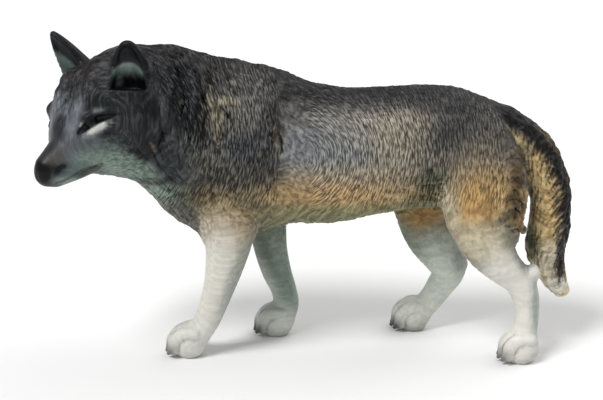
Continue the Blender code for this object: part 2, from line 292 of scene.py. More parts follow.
def build_masses():
    m = [
        Limb(stations(
            (205, 160, 0, 33, 54), (214, 158, 0, 34, 57), (230, 152, 0, 36.5, 64),
            (255, 149.5, 0, 38, 63), (275, 150, 0, 38, 60), (295, 151.5, 0, 38, 54),
            (330, 154, 0, 39, 51), (365, 151, 0, 38, 47.5), (400, 147.5, 0, 36, 46),
            (435, 146, 0, 35, 45.5), (462, 146.5, 0, 34, 42), (482, 149, 0, 31, 34)), 0, cap=16),
        Limb(stations(
            (112, 100, 12, 28, 36), (128, 102, 10, 31, 43), (146, 110, 8, 33, 50),
            (168, 118, 5, 34, 53), (195, 131, 2, 35, 56), (225, 146, 0, 35, 58)), 12),
        Limb(stations(
            (166, 180, 4, 14, 9), (185, 195, 4, 20, 16.5), (202, 207, 8, 19, 16), (216, 216, 14, 15, 16)), 10),
        Limb(stations(
            (236, 118, 15, 14, 26), (230, 172, 25, 15, 30), (231, 212, 26, 14, 21),
            (229, 240, 26, 12.5, 17.5), (226, 258, 25, 11.5, 15.3), (221, 280, 24, 10.5, 12.5),
            (214, 302, 22, 9.8, 10.6), (208, 318, 21, 9.6, 9.8), (200, 331, 20.5, 10.3, 9.5)),
            12, group="lf"),
        Limb(stations(
            (250, 130, -20, 16, 34), (258, 185, -24, 13, 22), (267, 222, -24, 12, 15),
            (271, 250, -23.5, 11, 12.8), (277, 272, -23, 10.3, 11.3), (284, 290, -22.5, 9.6, 9.8),
            (286, 304, -22, 9.8, 10), (281, 316, -22, 10.3, 10.5)), 10, group="rf"),
        Limb(stations(
            (476, 152, 16, 19, 28), (483, 188, 24, 17.5, 32), (485, 220, 27, 16, 27.5),
            (489, 246, 28.5, 13.5, 19.5), (503, 266, 29, 11, 14), (519, 281, 29, 9.3, 11.3),
            (526, 298, 29.5, 8.8, 9.8), (527, 315, 30, 8.8, 8.8), (524, 332, 31, 9.8, 9.8)),
            10, group="lh"),
        Ball(point(475, 228, 28), (12, 14, 16), 9, group="lh"),
        Ball(point(533, 273, 29), (6.5, 5, 7), 4, group="lh"),
        Limb(stations(
            (440, 160, -18, 18, 32), (428, 190, -24, 16, 27), (424, 216, -27, 14, 21),
            (435, 240, -28, 12.8, 20), (444, 258, -28.5, 11.3, 15.5), (449, 270, -29, 9.5, 12.8),
            (441, 284, -30, 9, 11), (432, 297, -31, 8.8, 9.8), (422, 308, -32, 9.5, 9.5)),
            9, group="rh"),
        Ball(point(461, 263, -29), (6, 5, 5.5), 4, group="rh"),
        Limb(stations(
            (478, 122, 0, 14, 18), (500, 126.5, 0, 13, 15.8), (518, 136, 0, 12.5, 14.5),
            (534, 149, 0, 12.3, 13.4), (545, 170, 0, 13, 13.6), (550, 198, 0, 13.8, 14),
            (548.5, 226, 0, 13.4, 13.8), (545, 248, 0, 12, 14.2), (550, 269, 0, 9, 9.6),
            (561.5, 289, 0, 4.5, 4.8)),
            4, group="tail"),
        Limb(head_rows(
            (-32, 0, 2, 28, 33), (-16, 0, 2, 30, 34), (-4, 0, 1, 29.5, 32), (5, 0, -1, 27.5, 29),
            (12, 0, -5, 25.5, 24), (18, 0, -8.5, 22.5, 19.5), (25, 0, -11, 18.5, 17.5),
            (33, 0, -12.5, 14.5, 15.5), (42, 0, -13.8, 11.5, 12.8), (49, 0, -14.5, 9.5, 10)),
            8, side=HL, steps=5, group="head"),
        Limb(head_rows((14, 0, 4, 8, 5), (28, 0, 0.5, 8, 5), (40, 0, -3.8, 7.5, 5), (49, 0, -7, 7, 5)),
             5, side=HL, group="head"),
        Limb(head_rows((2, 0, -22, 18, 10), (20, 0, -22, 13, 8), (34, 0, -21.5, 9.5, 6.5),
                       (44, 0, -21.5, 7, 5)), 5, side=HL, group="head"),
        Ball(head(51.5, 0, -11.5), (5.4, 7, 5.6), 2.0, HEAD_AXES, group="head"),
        Ball(head(-14, 0, -24), (24, 24, 18), 12, HEAD_AXES, group="head"),
        Ball(head(-26, -8, -8), (22, 26, 32), 14, HEAD_AXES),
        Limb(head_rows((4, 24, -14, 8, 8), (-8, 29, -22, 9, 10), (-18, 32, -30, 8, 9),
                       (-27, 34, -37, 4, 4)), 7, side=HU, group="head"),
        Limb(head_rows((4, -24, -14, 8, 8), (-8, -28, -20, 9, 10), (-20, -29, -25, 9, 10)),
             9, side=HU, group="head"),
    ]
    for s in (1, -1):
        m.append(Ball(head(-6, 21 * s, -14), (16, 12, 16), 9, HEAD_AXES, group="head"))
        m.append(Ball(head(14, 15 * s, 17), (8, 9, 6), 5, HEAD_AXES, group="head"))
        m.append(Ball(head(8, 12 * s, 25), (9, 9, 8), 5, HEAD_AXES, group="head"))
    m.append(Ball(head(-4, -10, 33), (12, 13, 8), 6, HEAD_AXES, group="head"))
    muzzle = [((52.5, 4.6, -16), 2.6), ((46.5, 8, -17.4), 3.0), ((37, 11.4, -17.2), 2.8), ((26, 15, -18), 1.8)]
    for s in (1, -1):
        m.append(Limb([list(head(a, b * s, c)) + [r, r] for (a, b, c), r in muzzle],
                      2.5, side=HU, steps=5, group="head"))
    # each line of the face lies on the skin: across and down on the drawing, and its radius
    upper_lid = [(81, 126, 0.9), (87, 118.5, 2.0), (95, 113.5, 2.3), (104, 112, 2.0), (113, 112, 1.0)]
    lower_lid = [(83, 134.5, 0.9), (90, 131, 1.7), (98, 126.5, 2.2), (107, 121.5, 1.6), (114, 118, 0.8)]
    slit = [(79.5, 132, 1.0), (84, 128.5, 2.0), (91, 123, 3.0), (99, 119, 2.4), (108, 117, 1.5), (115, 115.5, 0.8)]
    mouth = [(56, 183, 0.8), (63, 181, 0.9), (71, 177, 1.1), (79, 172.5, 1.2), (88, 168.5, 1.3), (96, 166, 1.0)]
    forehead = [(69, 112, 0.8), (70.5, 103, 1.2), (73, 93, 1.3), (76, 84, 0.8)]
    nostril = [(56, 172, 0.9), (60.5, 169, 1.5), (63, 164.5, 0.9)]
    whorl = [(101, 142, 0.6), (116, 147, 1.2), (130, 152, 1.4), (142, 160, 0.9)]
    cheek = [(104, 131, 0.6), (120, 137, 1.1), (134, 146, 1.3), (146, 158, 0.9)]
    eye_at = met_from_the_side(m, 91, 123) - np.array([2.0, 2.4, 0.6])
    placed = []
    for line, k, cut in ((upper_lid, 1.8, False), (lower_lid, 1.8, False), (slit, 1.2, True),
                         (mouth, 0.9, True), (forehead, 1.5, True), (nostril, 0.8, True),
                         (whorl, 1.5, False), (cheek, 1.5, True)):
        placed.append(([(met_from_the_side(m, u, v), r) for u, v, r in line], k, cut))
    for s in (1, -1):
        for line, k, cut in placed:
            m.append(Limb([list(head(a, b * s, c)) + [r, r] for (a, b, c), r in line],
                          k, side=HU, steps=4, cut=cut, group="head"))
        m.append(Ball(head(eye_at[0], eye_at[1] * s, eye_at[2]), (4.4, 4.4, 4.4), 0.4, HEAD_AXES, group="eye"))
    tufts = []
    for line, cut, _, _ in TUFTS:
        at = [(met(m, u, v), r) for u, v, r in line]
        for s in (1, -1):
            tufts.append(Limb([list(p * [s, 1, 1]) + [r, r] for p, r in at], 1.6, side=(0, 0.3, 1), steps=4, cut=cut))
    m += tufts
    rounded, pointed = (2.2, 0.5, 0.18), (1.3, 0.75, 0.0)
    m.append(Ear(head(-17, 31, 11), head(-23, 33, 62), 0.625, 7, rounded))
    m.append(Ear(head(-17, -22, 29), head(-11, -35, 65), -0.05, 5, pointed))
    m.append(EarHollow(head(-17, 31, 11), head(-23, 33, 62), 0.625, 14, rounded))
    m.append(Limb(head_rows((58.8, 0, -9, 0.5, 0.5), (57, 0, -15, 0.6, 0.6), (54.5, 0, -18.5, 0.7, 0.7)),
                  0.8, side=HL, cut=True, group="head"))
    m += paw(188, 349, 20.5, radians(-12), "lf")
    m += paw(275, 325, -22, radians(-12), "rf")
    m += paw(519, 354, 32, radians(-6), "lh")
    m += paw(411, 318, -33, radians(-6), "rh")
    return m


MASSES = build_masses()
POOL = ThreadPoolExecutor(4)


def in_chunks(fn, p, size=16000):
    parts = [p[i:i + size] for i in range(0, len(p), size)]
    return np.concatenate(list(POOL.map(fn, parts))) if parts else np.zeros(0, np.float32)


def field(points, band=8.0):
    def one(p):
        d = np.full(len(p), 60.0, np.float32)
        for m in MASSES:
            g = m.k + band
            idx = np.nonzero(((p > m.lo - g) & (p < m.hi + g)).all(1))[0]
            if len(idx):
                v = m.dist(p[idx]).astype(np.float32)
                d[idx] = -blend_min(-d[idx], v, m.k) if m.cut else blend_min(d[idx], v, m.k)
        return np.maximum(d, -p[:, 2].astype(np.float32))
    return in_chunks(one, points)


def skin(h, lo, hi):
    """Quads over the zero level of the field, from its sparse blocks."""
    lo, hi = np.asarray(lo, float), np.asarray(hi, float)
    B = 4
    nb = np.ceil((hi - lo) / (h * B)).astype(int)
    n = nb * B
    g = [lo[i] + (np.arange(nb[i]) * B + (B - 1) / 2) * h for i in range(3)]
    c = np.stack(np.meshgrid(*g, indexing="ij"), -1).reshape(-1, 3)
    dc = field(c, 8.0 + h * B).reshape(nb)
    val = np.repeat(np.repeat(np.repeat(dc, B, 0), B, 1), B, 2).astype(np.float32)
    act = np.argwhere(np.abs(dc) < h * B * 1.25 + 1.5)
    o = np.stack(np.meshgrid(*[np.arange(B)] * 3, indexing="ij"), -1).reshape(-1, 3)
    ijk = (act[:, None, :] * B + o[None]).reshape(-1, 3)
    val[ijk[:, 0], ijk[:, 1], ijk[:, 2]] = field(lo + ijk * h)
    ins = val < 0
    count = np.zeros(tuple(n - 1), np.uint8)
    corner = np.array([[x, y, z] for x in (0, 1) for y in (0, 1) for z in (0, 1)])
    for x, y, z in corner:
        count += ins[x:n[0] - 1 + x, y:n[1] - 1 + y, z:n[2] - 1 + z]
    cells = np.argwhere((count > 0) & (count < 8))
    index = np.full(tuple(n - 1), -1, np.int32)
    index[cells[:, 0], cells[:, 1], cells[:, 2]] = np.arange(len(cells))
    cv = np.stack([val[cells[:, 0] + a, cells[:, 1] + b, cells[:, 2] + e] for a, b, e in corner], 1)
    acc, cnt = np.zeros((len(cells), 3)), np.zeros(len(cells))
    for i in range(8):
        for j in range(i + 1, 8):
            if np.abs(corner[i] - corner[j]).sum() == 1:
                x = (cv[:, i] < 0) != (cv[:, j] < 0)
                t = cv[x, i] / (cv[x, i] - cv[x, j])
                acc[x] += corner[i] + t[:, None] * (corner[j] - corner[i])
                cnt[x] += 1
    verts = lo + (cells + acc / cnt[:, None]) * h
    quads = []
    for ax in range(3):
        b1, b2 = (ax + 1) % 3, (ax + 2) % 3
        s0, s1 = [slice(None)] * 3, [slice(None)] * 3
        s0[ax], s1[ax] = slice(0, -1), slice(1, None)
        e = np.argwhere(ins[tuple(s0)] != ins[tuple(s1)])
        e = e[(e[:, b1] > 0) & (e[:, b2] > 0) & (e[:, b1] < n[b1] - 1) & (e[:, b2] < n[b2] - 1)]
        up = ins[e[:, 0], e[:, 1], e[:, 2]]
        corners = []
        for d1, d2 in ((0, 0), (1, 0), (1, 1), (0, 1)):
            q = e.copy()
            q[:, b1] -= d1
            q[:, b2] -= d2
            corners.append(index[q[:, 0], q[:, 1], q[:, 2]])
        q = np.stack(corners, 1)
        q[~up] = q[~up][:, ::-1]
        quads.append(q)
    return verts, np.concatenate(quads)


class Net:
    """The skin's vertices and edges, for averages over neighbours."""

    def __init__(self, verts, quads):
        self.v, self.q = verts, quads
        e = np.concatenate([quads[:, [0, 1]], quads[:, [1, 2]], quads[:, [2, 3]], quads[:, [3, 0]]])
        e = np.unique(np.sort(e, 1), axis=0)
        self.i = np.concatenate([e[:, 0], e[:, 1]])
        self.j = np.concatenate([e[:, 1], e[:, 0]])
        self.n = len(verts)

    def normals(self, v=None):
        v = self.v if v is None else v
        a, b, c, d = (v[self.q[:, k]] for k in range(4))
        f = np.cross(c - a, d - b)
        out = np.zeros_like(v)
        for k in range(4):
            for x in range(3):
                out[:, x] += np.bincount(self.q[:, k], f[:, x], self.n)
        return unit(out)

    def gather(self, f, w):
        """Average of neighbours' f, with weight w on each edge end."""
        total = np.bincount(self.i, w, self.n) + 1e-9
        if f.ndim == 1:
            return np.bincount(self.i, w * f[self.j], self.n) / total
        return np.stack([np.bincount(self.i, w * f[self.j, k], self.n) for k in range(f.shape[1])], 1) / total[:, None]


def settle(verts, net, rounds=2):
    ones = np.ones(len(net.i))
    for _ in range(rounds):
        verts = verts + 0.5 * (net.gather(verts, ones) - verts)
        d = field(verts)
        e = 0.2
        g = np.stack([(field(verts + np.eye(3)[k] * e) - d) / e for k in range(3)], 1)
        gg = np.maximum((g**2).sum(1), 0.05)
        verts = verts - np.clip(d / gg, -1, 1)[:, None] * g
    return verts


verts, quads = skin(VOXEL, (-60, -212, -3), (72, 212, 256))
net = Net(verts, quads)
verts = settle(verts, net)
net.v = verts
normals = net.normals()
print("skin", len(verts))

# ---------------------------------------------------------------- where a point is
GROUPS = ("trunk", "head", "lf", "rf", "lh", "rh", "tail", "ear", "eye")


def group_distances(points):
    def one(p):
        out = np.full((len(p), len(GROUPS)), 60.0, np.float32)
        for m in MASSES:
            if not m.cut:
                idx = np.nonzero(((p > m.lo - 14) & (p < m.hi + 14)).all(1))[0]
                if len(idx):
                    g = GROUPS.index(m.group)
                    out[idx, g] = np.minimum(out[idx, g], m.dist(p[idx]))
        return out
    return in_chunks(one, points)


near = group_distances(verts)
share = np.exp(-(near - near.min(1)[:, None]) / 2.5)
share /= share.sum(1)[:, None]
G = {g: share[:, i] for i, g in enumerate(GROUPS)}
h3 = (verts - HC) @ np.stack([HF, HL, HU], 1)          # head coordinates
headness = np.maximum(smooth(h3[:, 0], -30, -17) * smooth(h3[:, 2], -52, -40), smooth(G["ear"], 0.2, 0.6))
huv = on_drawing(HC + (h3 * [1, 1, 1] * np.where(h3[:, 1:2] < 0, [[1, -1, 1]], [[1, 1, 1]])) @ np.array([HF, HL, HU]))
mirror = verts * np.where(verts[:, :1] < 0, [[-1, 1, 1]], [[1, 1, 1]])
uv = on_drawing(mirror)                                 # both flanks carry the near one's pattern
uv_own = on_drawing(verts)

# ---------------------------------------------------------------- lie of the fur
# across, down, offset, angle (0 to the rear, 90 down), lock length, lock width, lock depth
LIE = [
    (118, 60, 14, 25, 16, 5.5, 1.0), (140, 52, 10, 30, 20, 6, 1.2), (165, 56, 8, 38, 22, 6, 1.3),
    (190, 62, 8, 42, 22, 6, 1.4), (212, 68, 8, 40, 20, 5.5, 1.4), (235, 70, 6, 35, 14, 4, 1.0),
    (260, 72, 6, 30, 11, 3.2, 0.7), (285, 80, 6, 25, 11, 3.4, 0.8), (310, 86, 6, 5, 9, 2.8, 0.5),
    (345, 90, 6, -12, 8, 2.6, 0.4), (385, 88, 6, -8, 8, 2.6, 0.4), (425, 90, 6, 10, 8, 2.6, 0.4),
    (460, 98, 6, 25, 8, 2.6, 0.4), (490, 112, 6, 40, 10, 3, 0.6),
    (150, 85, 30, 62, 26, 6.5, 1.7), (172, 85, 34, 62, 26, 6.5, 1.7), (192, 92, 36, 66, 26, 6.5, 1.8),
    (207, 85, 36, 66, 20, 5.5, 1.6), (222, 92, 36, 52, 12, 3.4, 1.0), (240, 95, 36, 50, 11, 2.9, 0.8),
    (258, 97, 36, 58, 12, 2.9, 0.9), (272, 104, 36, 72, 12, 3.2, 1.0), (288, 100, 34, 60, 10, 3.4, 1.0),
    (298, 112, 34, 30, 8, 3.2, 0.9), (312, 102, 30, -18, 9, 3, 0.6), (335, 104, 30, -28, 9, 2.8, 0.5),
    (360, 104, 30, -20, 9, 2.8, 0.5), (385, 102, 30, 8, 10, 2.9, 0.6), (410, 108, 30, 40, 11, 2.9, 0.7),
    (432, 108, 30, 50, 10, 2.8, 0.5), (455, 112, 30, 40, 8, 2.6, 0.4), (480, 125, 28, 50, 10, 3, 0.6),
    (148, 118, 32, 80, 24, 6, 1.6), (168, 118, 36, 78, 24, 6, 1.7), (190, 122, 38, 84, 22, 6, 1.8),
    (204, 118, 38, 80, 18, 5.5, 1.6), (220, 115, 38, 40, 12, 3.4, 0.9), (238, 118, 38, 50, 11, 2.8, 0.7),
    (256, 120, 38, 62, 12, 2.9, 0.8), (274, 124, 38, 84, 16, 4.2, 1.4), (290, 122, 38, 50, 9, 3, 0.7),
    (318, 125, 38, 20, 9, 2.7, 0.4), (345, 126, 38, 36, 10, 2.8, 0.5), (372, 124, 38, 52, 11, 2.9, 0.7),
    (398, 128, 36, 66, 12, 2.9, 0.8), (422, 130, 34, 80, 11, 2.9, 0.7), (442, 132, 32, 85, 9, 2.8, 0.5),
    (465, 140, 32, 70, 8, 2.6, 0.4), (490, 145, 30, 60, 8, 2.6, 0.5),
    (156, 145, 32, 82, 22, 6, 1.5), (176, 148, 36, 66, 20, 5.5, 1.5), (198, 148, 38, 62, 16, 5, 1.4),
    (218, 140, 38, 30, 11, 3.2, 0.8), (240, 142, 38, 22, 10, 2.8, 0.6), (262, 146, 40, 72, 14, 3.8, 1.2),
    (278, 150, 40, 84, 14, 3.8, 1.2), (300, 150, 40, 30, 9, 2.7, 0.4), (330, 150, 40, 48, 10, 2.8, 0.5),
    (360, 150, 38, 66, 11, 2.9, 0.7), (388, 152, 38, 80, 12, 2.9, 0.8), (412, 155, 36, 92, 11, 2.9, 0.8),
    (432, 160, 34, 105, 10, 3, 0.7), (455, 168, 36, 80, 8, 2.6, 0.4), (480, 170, 36, 78, 8, 2.6, 0.4),
    (165, 172, 26, 60, 18, 5, 1.2), (185, 178, 32, 46, 13, 3.8, 0.9), (208, 172, 36, 40, 11, 3.2, 0.8),
    (232, 168, 40, 48, 10, 3, 0.7), (254, 172, 42, 66, 12, 3.2, 0.9), (276, 176, 38, 60, 12, 3.2, 0.8),
    (305, 178, 38, 55, 10, 2.8, 0.5), (335, 178, 38, 62, 11, 2.9, 0.7), (362, 180, 36, 68, 12, 3, 0.8),
    (388, 182, 34, 50, 12, 3, 0.8), (410, 184, 32, 10, 11, 3, 0.8), (432, 182, 32, -25, 12, 3.2, 0.9),
    (455, 195, 38, 76, 8, 2.6, 0.4), (480, 200, 40, 80, 8, 2.6, 0.4), (505, 175, 26, 75, 9, 3.4, 0.9),
    (520, 195, 22, 60, 9, 4, 1.5), (520, 222, 22, 100, 9, 4, 1.5),
    (182, 200, 20, 50, 12, 3.4, 0.8), (205, 200, 34, 48, 9, 2.8, 0.5), (228, 200, 40, 60, 8, 2.7, 0.4),
    (250, 205, 36, 50, 11, 3.2, 0.8), (280, 202, 30, 45, 11, 3.2, 0.8), (310, 205, 30, 40, 11, 3.2, 0.8),
    (340, 205, 30, 45, 12, 3.4, 1.0), (370, 202, 28, 35, 12, 3.4, 0.9), (395, 200, 26, 15, 12, 3.4, 0.8),
    (300, 220, 8, 60, 10, 3.6, 1.2), (340, 222, 8, 60, 10, 3.6, 1.2), (375, 214, 8, 50, 10, 3.4, 1.0),
    (420, 205, 10, 30, 10, 3, 0.6),
]
LEGS = [
    (225, 230, 38, 84, 6, 2.2, 0.25), (222, 262, 36, 95, 5, 2, 0.12), (210, 300, 32, 100, 5, 2, 0.08),
    (195, 330, 30, 150, 5, 2, 0.06), (270, 235, -20, 75, 6, 2.2, 0.2), (280, 275, -20, 72, 5, 2, 0.1),
    (285, 300, -20, 100, 5, 2, 0.08), (470, 235, 44, 66, 7, 2.4, 0.3), (495, 240, 44, 70, 7, 2.4, 0.3),
    (505, 262, 42, 60, 5, 2, 0.15), (530, 290, 40, 90, 5, 2, 0.08), (526, 325, 40, 95, 5, 2, 0.06),
    (432, 225, -20, 66, 6, 2.2, 0.25), (448, 255, -20, 75, 5, 2, 0.15), (440, 285, -22, 130, 5, 2, 0.08),
]
TAIL = [
    (500, 122, 0, 40, 12, 3.4, 1.0), (514, 130, 6, 60, 13, 3.4, 1.3), (528, 138, 8, 80, 15, 3.6, 1.6),
    (546, 148, 4, 92, 16, 3.6, 1.7), (556, 166, 8, 122, 18, 3.8, 1.9), (562, 190, 8, 138, 19, 3.8, 2.0),
    (563, 208, 8, 140, 19, 3.8, 2.0), (562, 230, 8, 140, 18, 3.8, 1.9), (558, 250, 8, 130, 16, 3.6, 1.7),
    (553, 266, 6, 95, 14, 3.4, 1.4), (563, 282, 3, 66, 12, 3.2, 1.1), (540, 160, 6, 78, 15, 3.6, 1.3),
    (543, 185, 8, 112, 17, 3.6, 1.5), (545, 212, 8, 124, 17, 3.6, 1.6), (543, 240, 8, 122, 16, 3.6, 1.5),
    (533, 190, 4, 90, 12, 3.4, 0.9), (532, 222, 4, 95, 12, 3.4, 0.9), (531, 250, 4, 84, 12, 3.4, 0.9),
]
# head: a, b, c, then the direction in the head's axes, lock length, width, depth
HEAD_LIE = [
    (52, 0, -4, -1, 0, 0.3, 3, 1.5, 0.03), (40, 0, 1, -1, 0, 0.4, 4, 1.8, 0.05), (28, 0, 6, -1, 0, 0.5, 5, 2, 0.1),
    (46, 9, -12, -1, 0.2, 0, 3, 1.5, 0.04), (34, 13, -10, -1, 0.35, 0, 5, 2, 0.1), (22, 10, 8, -0.9, 0.3, 0.7, 5, 2, 0.2),
    (18, 0, 14, -0.7, 0, 0.8, 7, 2.4, 0.4), (8, 0, 27, -0.8, 0, 0.6, 8, 2.6, 0.6), (8, 12, 28, -0.8, 0.2, 0.5, 8, 2.6, 0.6),
    (-6, 0, 33, -1, 0, 0.15, 9, 3, 0.6), (-6, 15, 31, -1, 0.2, 0, 9, 3, 0.5), (14, 20, 18, -0.7, 0.6, 0.4, 6, 2.2, 0.3),
    (8, 26, 10, -0.9, 0.3, -0.1, 8, 2.4, 0.4), (-6, 29, 8, -0.95, 0.1, -0.3, 12, 3, 0.6), (-20, 29, 4, -0.7, 0, -0.8, 16, 4, 1.0),
    (18, 22, -4, -0.9, 0.4, -0.15, 6, 2, 0.2), (6, 27, -6, -0.9, 0.25, -0.35, 11, 2.6, 0.5), (-6, 31, -12, -0.85, 0.15, -0.5, 14, 3, 0.8),
    (-18, 33, -20, -0.7, 0.1, -0.8, 16, 3.6, 1.1), (-26, 34, -32, -0.6, 0.1, -0.9, 14, 3.6, 1.2),
    (24, 14, -20, -1, 0.25, -0.1, 5, 2, 0.1), (10, 22, -20, -0.9, 0.2, -0.3, 9, 2.6, 0.4), (0, 24, -28, -0.9, 0.1, -0.4, 12, 3, 0.6),
    (30, 0, -28, -1, 0, 0, 5, 2, 0.1), (5, 0, -33, -1, 0, -0.2, 10, 3, 0.6), (-15, 0, -42, -1, 0, -0.3, 14, 4, 1.0),
    (-30, 0, 33, -1, 0, -0.2, 14, 4.5, 0.8), (-22, 34, 40, 0, 0.15, 1, 4, 1.8, 0.05), (-20, 30, 22, -0.2, 0.2, 0.9, 5, 2, 0.1),
]


def lie_table():
    rows = []
    for table in (LIE, LEGS, TAIL):
        for u, v, x, angle, *lock in table:
            a = radians(angle)
            d = np.array([0, cos(a), -sin(a)])
            rows.append((point(u, v, x), d, lock, 0 if table is LIE else (1 if table is LEGS else 2)))
            if table is not LEGS:
                rows.append((point(u, v, x) * [-1, 1, 1], d, lock, rows[-1][3]))
    for a, b, c, da, db, dc, *lock in HEAD_LIE:
        for s in ((1, -1) if b else (1,)):
            rows.append((head(a, b * s, c), unit(da * HF + db * s * HL + dc * HU), lock, 3))
    return (np.array([r[0] for r in rows]), np.array([r[1] for r in rows]),
            np.array([r[2] for r in rows]), np.array([r[3] for r in rows]))


LIE_AT, LIE_DIR, LIE_LOCK, LIE_KIND = lie_table()


def lie(points, kinds):
    """Direction of the fur and size of its locks: kinds are the shares of trunk, legs, tail and head."""
    def one(block):
        p, k = block[:, :3], block[:, 3:]
        d2 = ((p[:, None, :] - LIE_AT[None]) ** 2).sum(2)
        w = k[:, LIE_KIND] / (d2 + 30.0) ** 2
        w /= w.sum(1)[:, None] + 1e-12
        return np.concatenate([w @ LIE_DIR, w @ LIE_LOCK], 1)
    return in_chunks(one, np.concatenate([points, kinds], 1), 6000)


kinds = np.stack([G["trunk"] + 0.02, G["lf"] + G["rf"] + G["lh"] + G["rh"], G["tail"],
                  G["head"] + G["ear"] + G["eye"]], 1)
# a leg's upper end carries the trunk's fur
low = smooth(uv[:, 1], 205, 235)
kinds[:, 0] += kinds[:, 1] * (1 - low)
kinds[:, 1] *= low
found = lie(verts, kinds)
across_normal = (found[:, :3] * normals).sum(1)[:, None]
flow = unit(found[:, :3] - across_normal * normals)
lock_len, lock_wide, lock_deep = found[:, 3], found[:, 4], found[:, 5]
bare = np.clip(G["eye"] * 2 + smooth(h3[:, 0], 49, 52) * G["head"] * 2, 0, 1)    # eyes and nose
lock_deep = lock_deep * (1 - bare) * (1 - 0.9 * G["ear"])
lock_deep *= smooth(verts[:, 2], 0, 8)
cup = np.zeros(len(verts))                              # the walls of the near ear's cup
for m in MASSES:
    if isinstance(m, EarHollow):
        cup = 1 - smooth(m.dist(verts), 0.5, 2.0)
lock_deep *= 1 - cup
print("lie")

tree = kdtree.KDTree(len(verts))
for i, p in enumerate(verts):
    tree.insert(p, i)
tree.balance()


def nearest(points):
    return np.array([tree.find(p)[1] for p in points])


# ---------------------------------------------------------------- locks of fur
def seeds_for(low_w, high_w, cell, keep=1.0):
    ok = np.nonzero((lock_wide >= low_w) & (lock_wide < high_w) & (lock_deep > 0.1))[0]
    ok = rng.permutation(ok)
    key = np.floor((verts[ok] + rng.uniform(0, cell, 3)) / cell).astype(np.int64)
    code = (key[:, 0] + 500) * 4000000 + (key[:, 1] + 500) * 2000 + key[:, 2] + 500
    _, first = np.unique(code, return_index=True)
    first = ok[first]
    return first[rng.random(len(first)) < keep]


def trace(seed, steps, spacing):
    """Points along the fur from each seed, with the surface's normal and the way on."""
    at = seed.copy()
    p = verts[at].copy()
    P, T, N = [p.copy()], [flow[at]], [normals[at]]
    way = flow[at].copy()
    for _ in range(steps):
        way = unit(way + flow[at])
        p = p + way * spacing[:, None]
        at = nearest(p)
        n = normals[at]
        p = p - ((p - verts[at]) * n).sum(1)[:, None] * n
        P.append(p.copy())
        T.append(flow[at])
        N.append(n)
    return np.stack(P, 1), np.stack(T, 1), np.stack(N, 1)


CELL = 2.0
vkey = np.floor(verts / CELL).astype(np.int64) + 500
vcode = vkey[:, 0] * 4000000 + vkey[:, 1] * 2000 + vkey[:, 2]
vorder = np.argsort(vcode, kind="stable")
vsorted = vcode[vorder]


def stamp(classes):
    """Lays the locks like tiles: height, place across and along, and each lock's own number."""
    height = np.zeros(len(verts))
    across = np.zeros(len(verts))
    along = np.zeros(len(verts))
    number = np.zeros(len(verts))
    for seed, steps in classes:
        L = lock_len[seed] * rng.uniform(0.75, 1.25, len(seed))
        W = lock_wide[seed] * rng.uniform(0.75, 1.2, len(seed)) * 0.5
        A = lock_deep[seed] * rng.uniform(0.7, 1.3, len(seed))
        base = rng.uniform(0, 0.35, len(seed)) * A
        idn = rng.random(len(seed))
        P, T, N = trace(seed, steps, L / steps)
        s = np.linspace(0, 1, steps + 1)
        fine = max(1, int(np.ceil((L.max() / steps) / 1.0)))
        S = []
        for k in range(steps):
            for j in range(fine):
                f = j / fine
                S.append((P[:, k] * (1 - f) + P[:, k + 1] * f, T[:, k] * (1 - f) + T[:, k + 1] * f,
                          N[:, k] * (1 - f) + N[:, k + 1] * f, np.full(len(seed), s[k] * (1 - f) + s[k + 1] * f)))
        pos = np.concatenate([x[0] for x in S])
        tan = unit(np.concatenate([x[1] for x in S]))
        nor = unit(np.concatenate([x[2] for x in S]))
        par = np.concatenate([x[3] for x in S])
        who = np.tile(np.arange(len(seed)), len(S))
        step = (L / steps / fine)[who]
        reach = int(np.ceil(W.max() / CELL))
        keys = np.floor(pos / CELL).astype(np.int64) + 500
        for dx in range(-reach, reach + 1):
            for dy in range(-reach, reach + 1):
                for dz in range(-reach, reach + 1):
                    code = (keys[:, 0] + dx) * 4000000 + (keys[:, 1] + dy) * 2000 + keys[:, 2] + dz
                    lo = np.searchsorted(vsorted, code, "left")
                    hi = np.searchsorted(vsorted, code, "right")
                    num = hi - lo
                    has = np.nonzero(num)[0]
                    if not len(has):
                        continue
                    rep = np.repeat(has, num[has])
                    start = np.repeat(lo[has] - np.concatenate([[0], np.cumsum(num[has])[:-1]]), num[has])
                    vi = vorder[start + np.arange(len(rep))]
                    rel = verts[vi] - pos[rep]
                    a = (rel * tan[rep]).sum(1)
                    up = (rel * nor[rep]).sum(1)
                    side = (np.cross(nor[rep], tan[rep]) * rel).sum(1)
                    t = par[rep] + a / L[who[rep]]
                    wide = W[who[rep]] * np.sqrt(np.clip(t / 0.18, 0.05, 1)) * np.sqrt(np.clip((1.0 - t) / 0.45, 0, 1))
                    ok = (np.abs(a) <= step[rep] * 0.75) & (np.abs(side) < wide) & (np.abs(up) < 3) & (t > 0) & (t < 1)
                    vi, t, side, wide, r = vi[ok], t[ok], side[ok], wide[ok], rep[ok]
                    q = side / wide
                    hgt = base[who[r]] + A[who[r]] * (0.25 + 0.75 * smooth(t, 0, 0.7)) * (1 - q**2) ** 0.6
                    hgt = hgt * (1 - 0.25 * smooth(t, 0.75, 1))
                    order = np.argsort(hgt)
                    vi, hgt = vi[order], hgt[order]
                    better = hgt > height[vi]
                    vi, hgt, order = vi[better], hgt[better], order[better]
                    height[vi] = hgt
                    across[vi] = side[order]
                    along[vi] = t[order] * L[who[r[order]]]
                    number[vi] = idn[who[r[order]]]
    return height, across, along, number


classes = [
    (seeds_for(4.4, 9, 5.2), 8),
    (seeds_for(3.3, 4.6, 3.6), 6),
    (seeds_for(2.5, 3.4, 2.7), 5),
]
print("locks", [len(c[0]) for c in classes])
height, across, along, number = stamp(classes)
print("stamped")

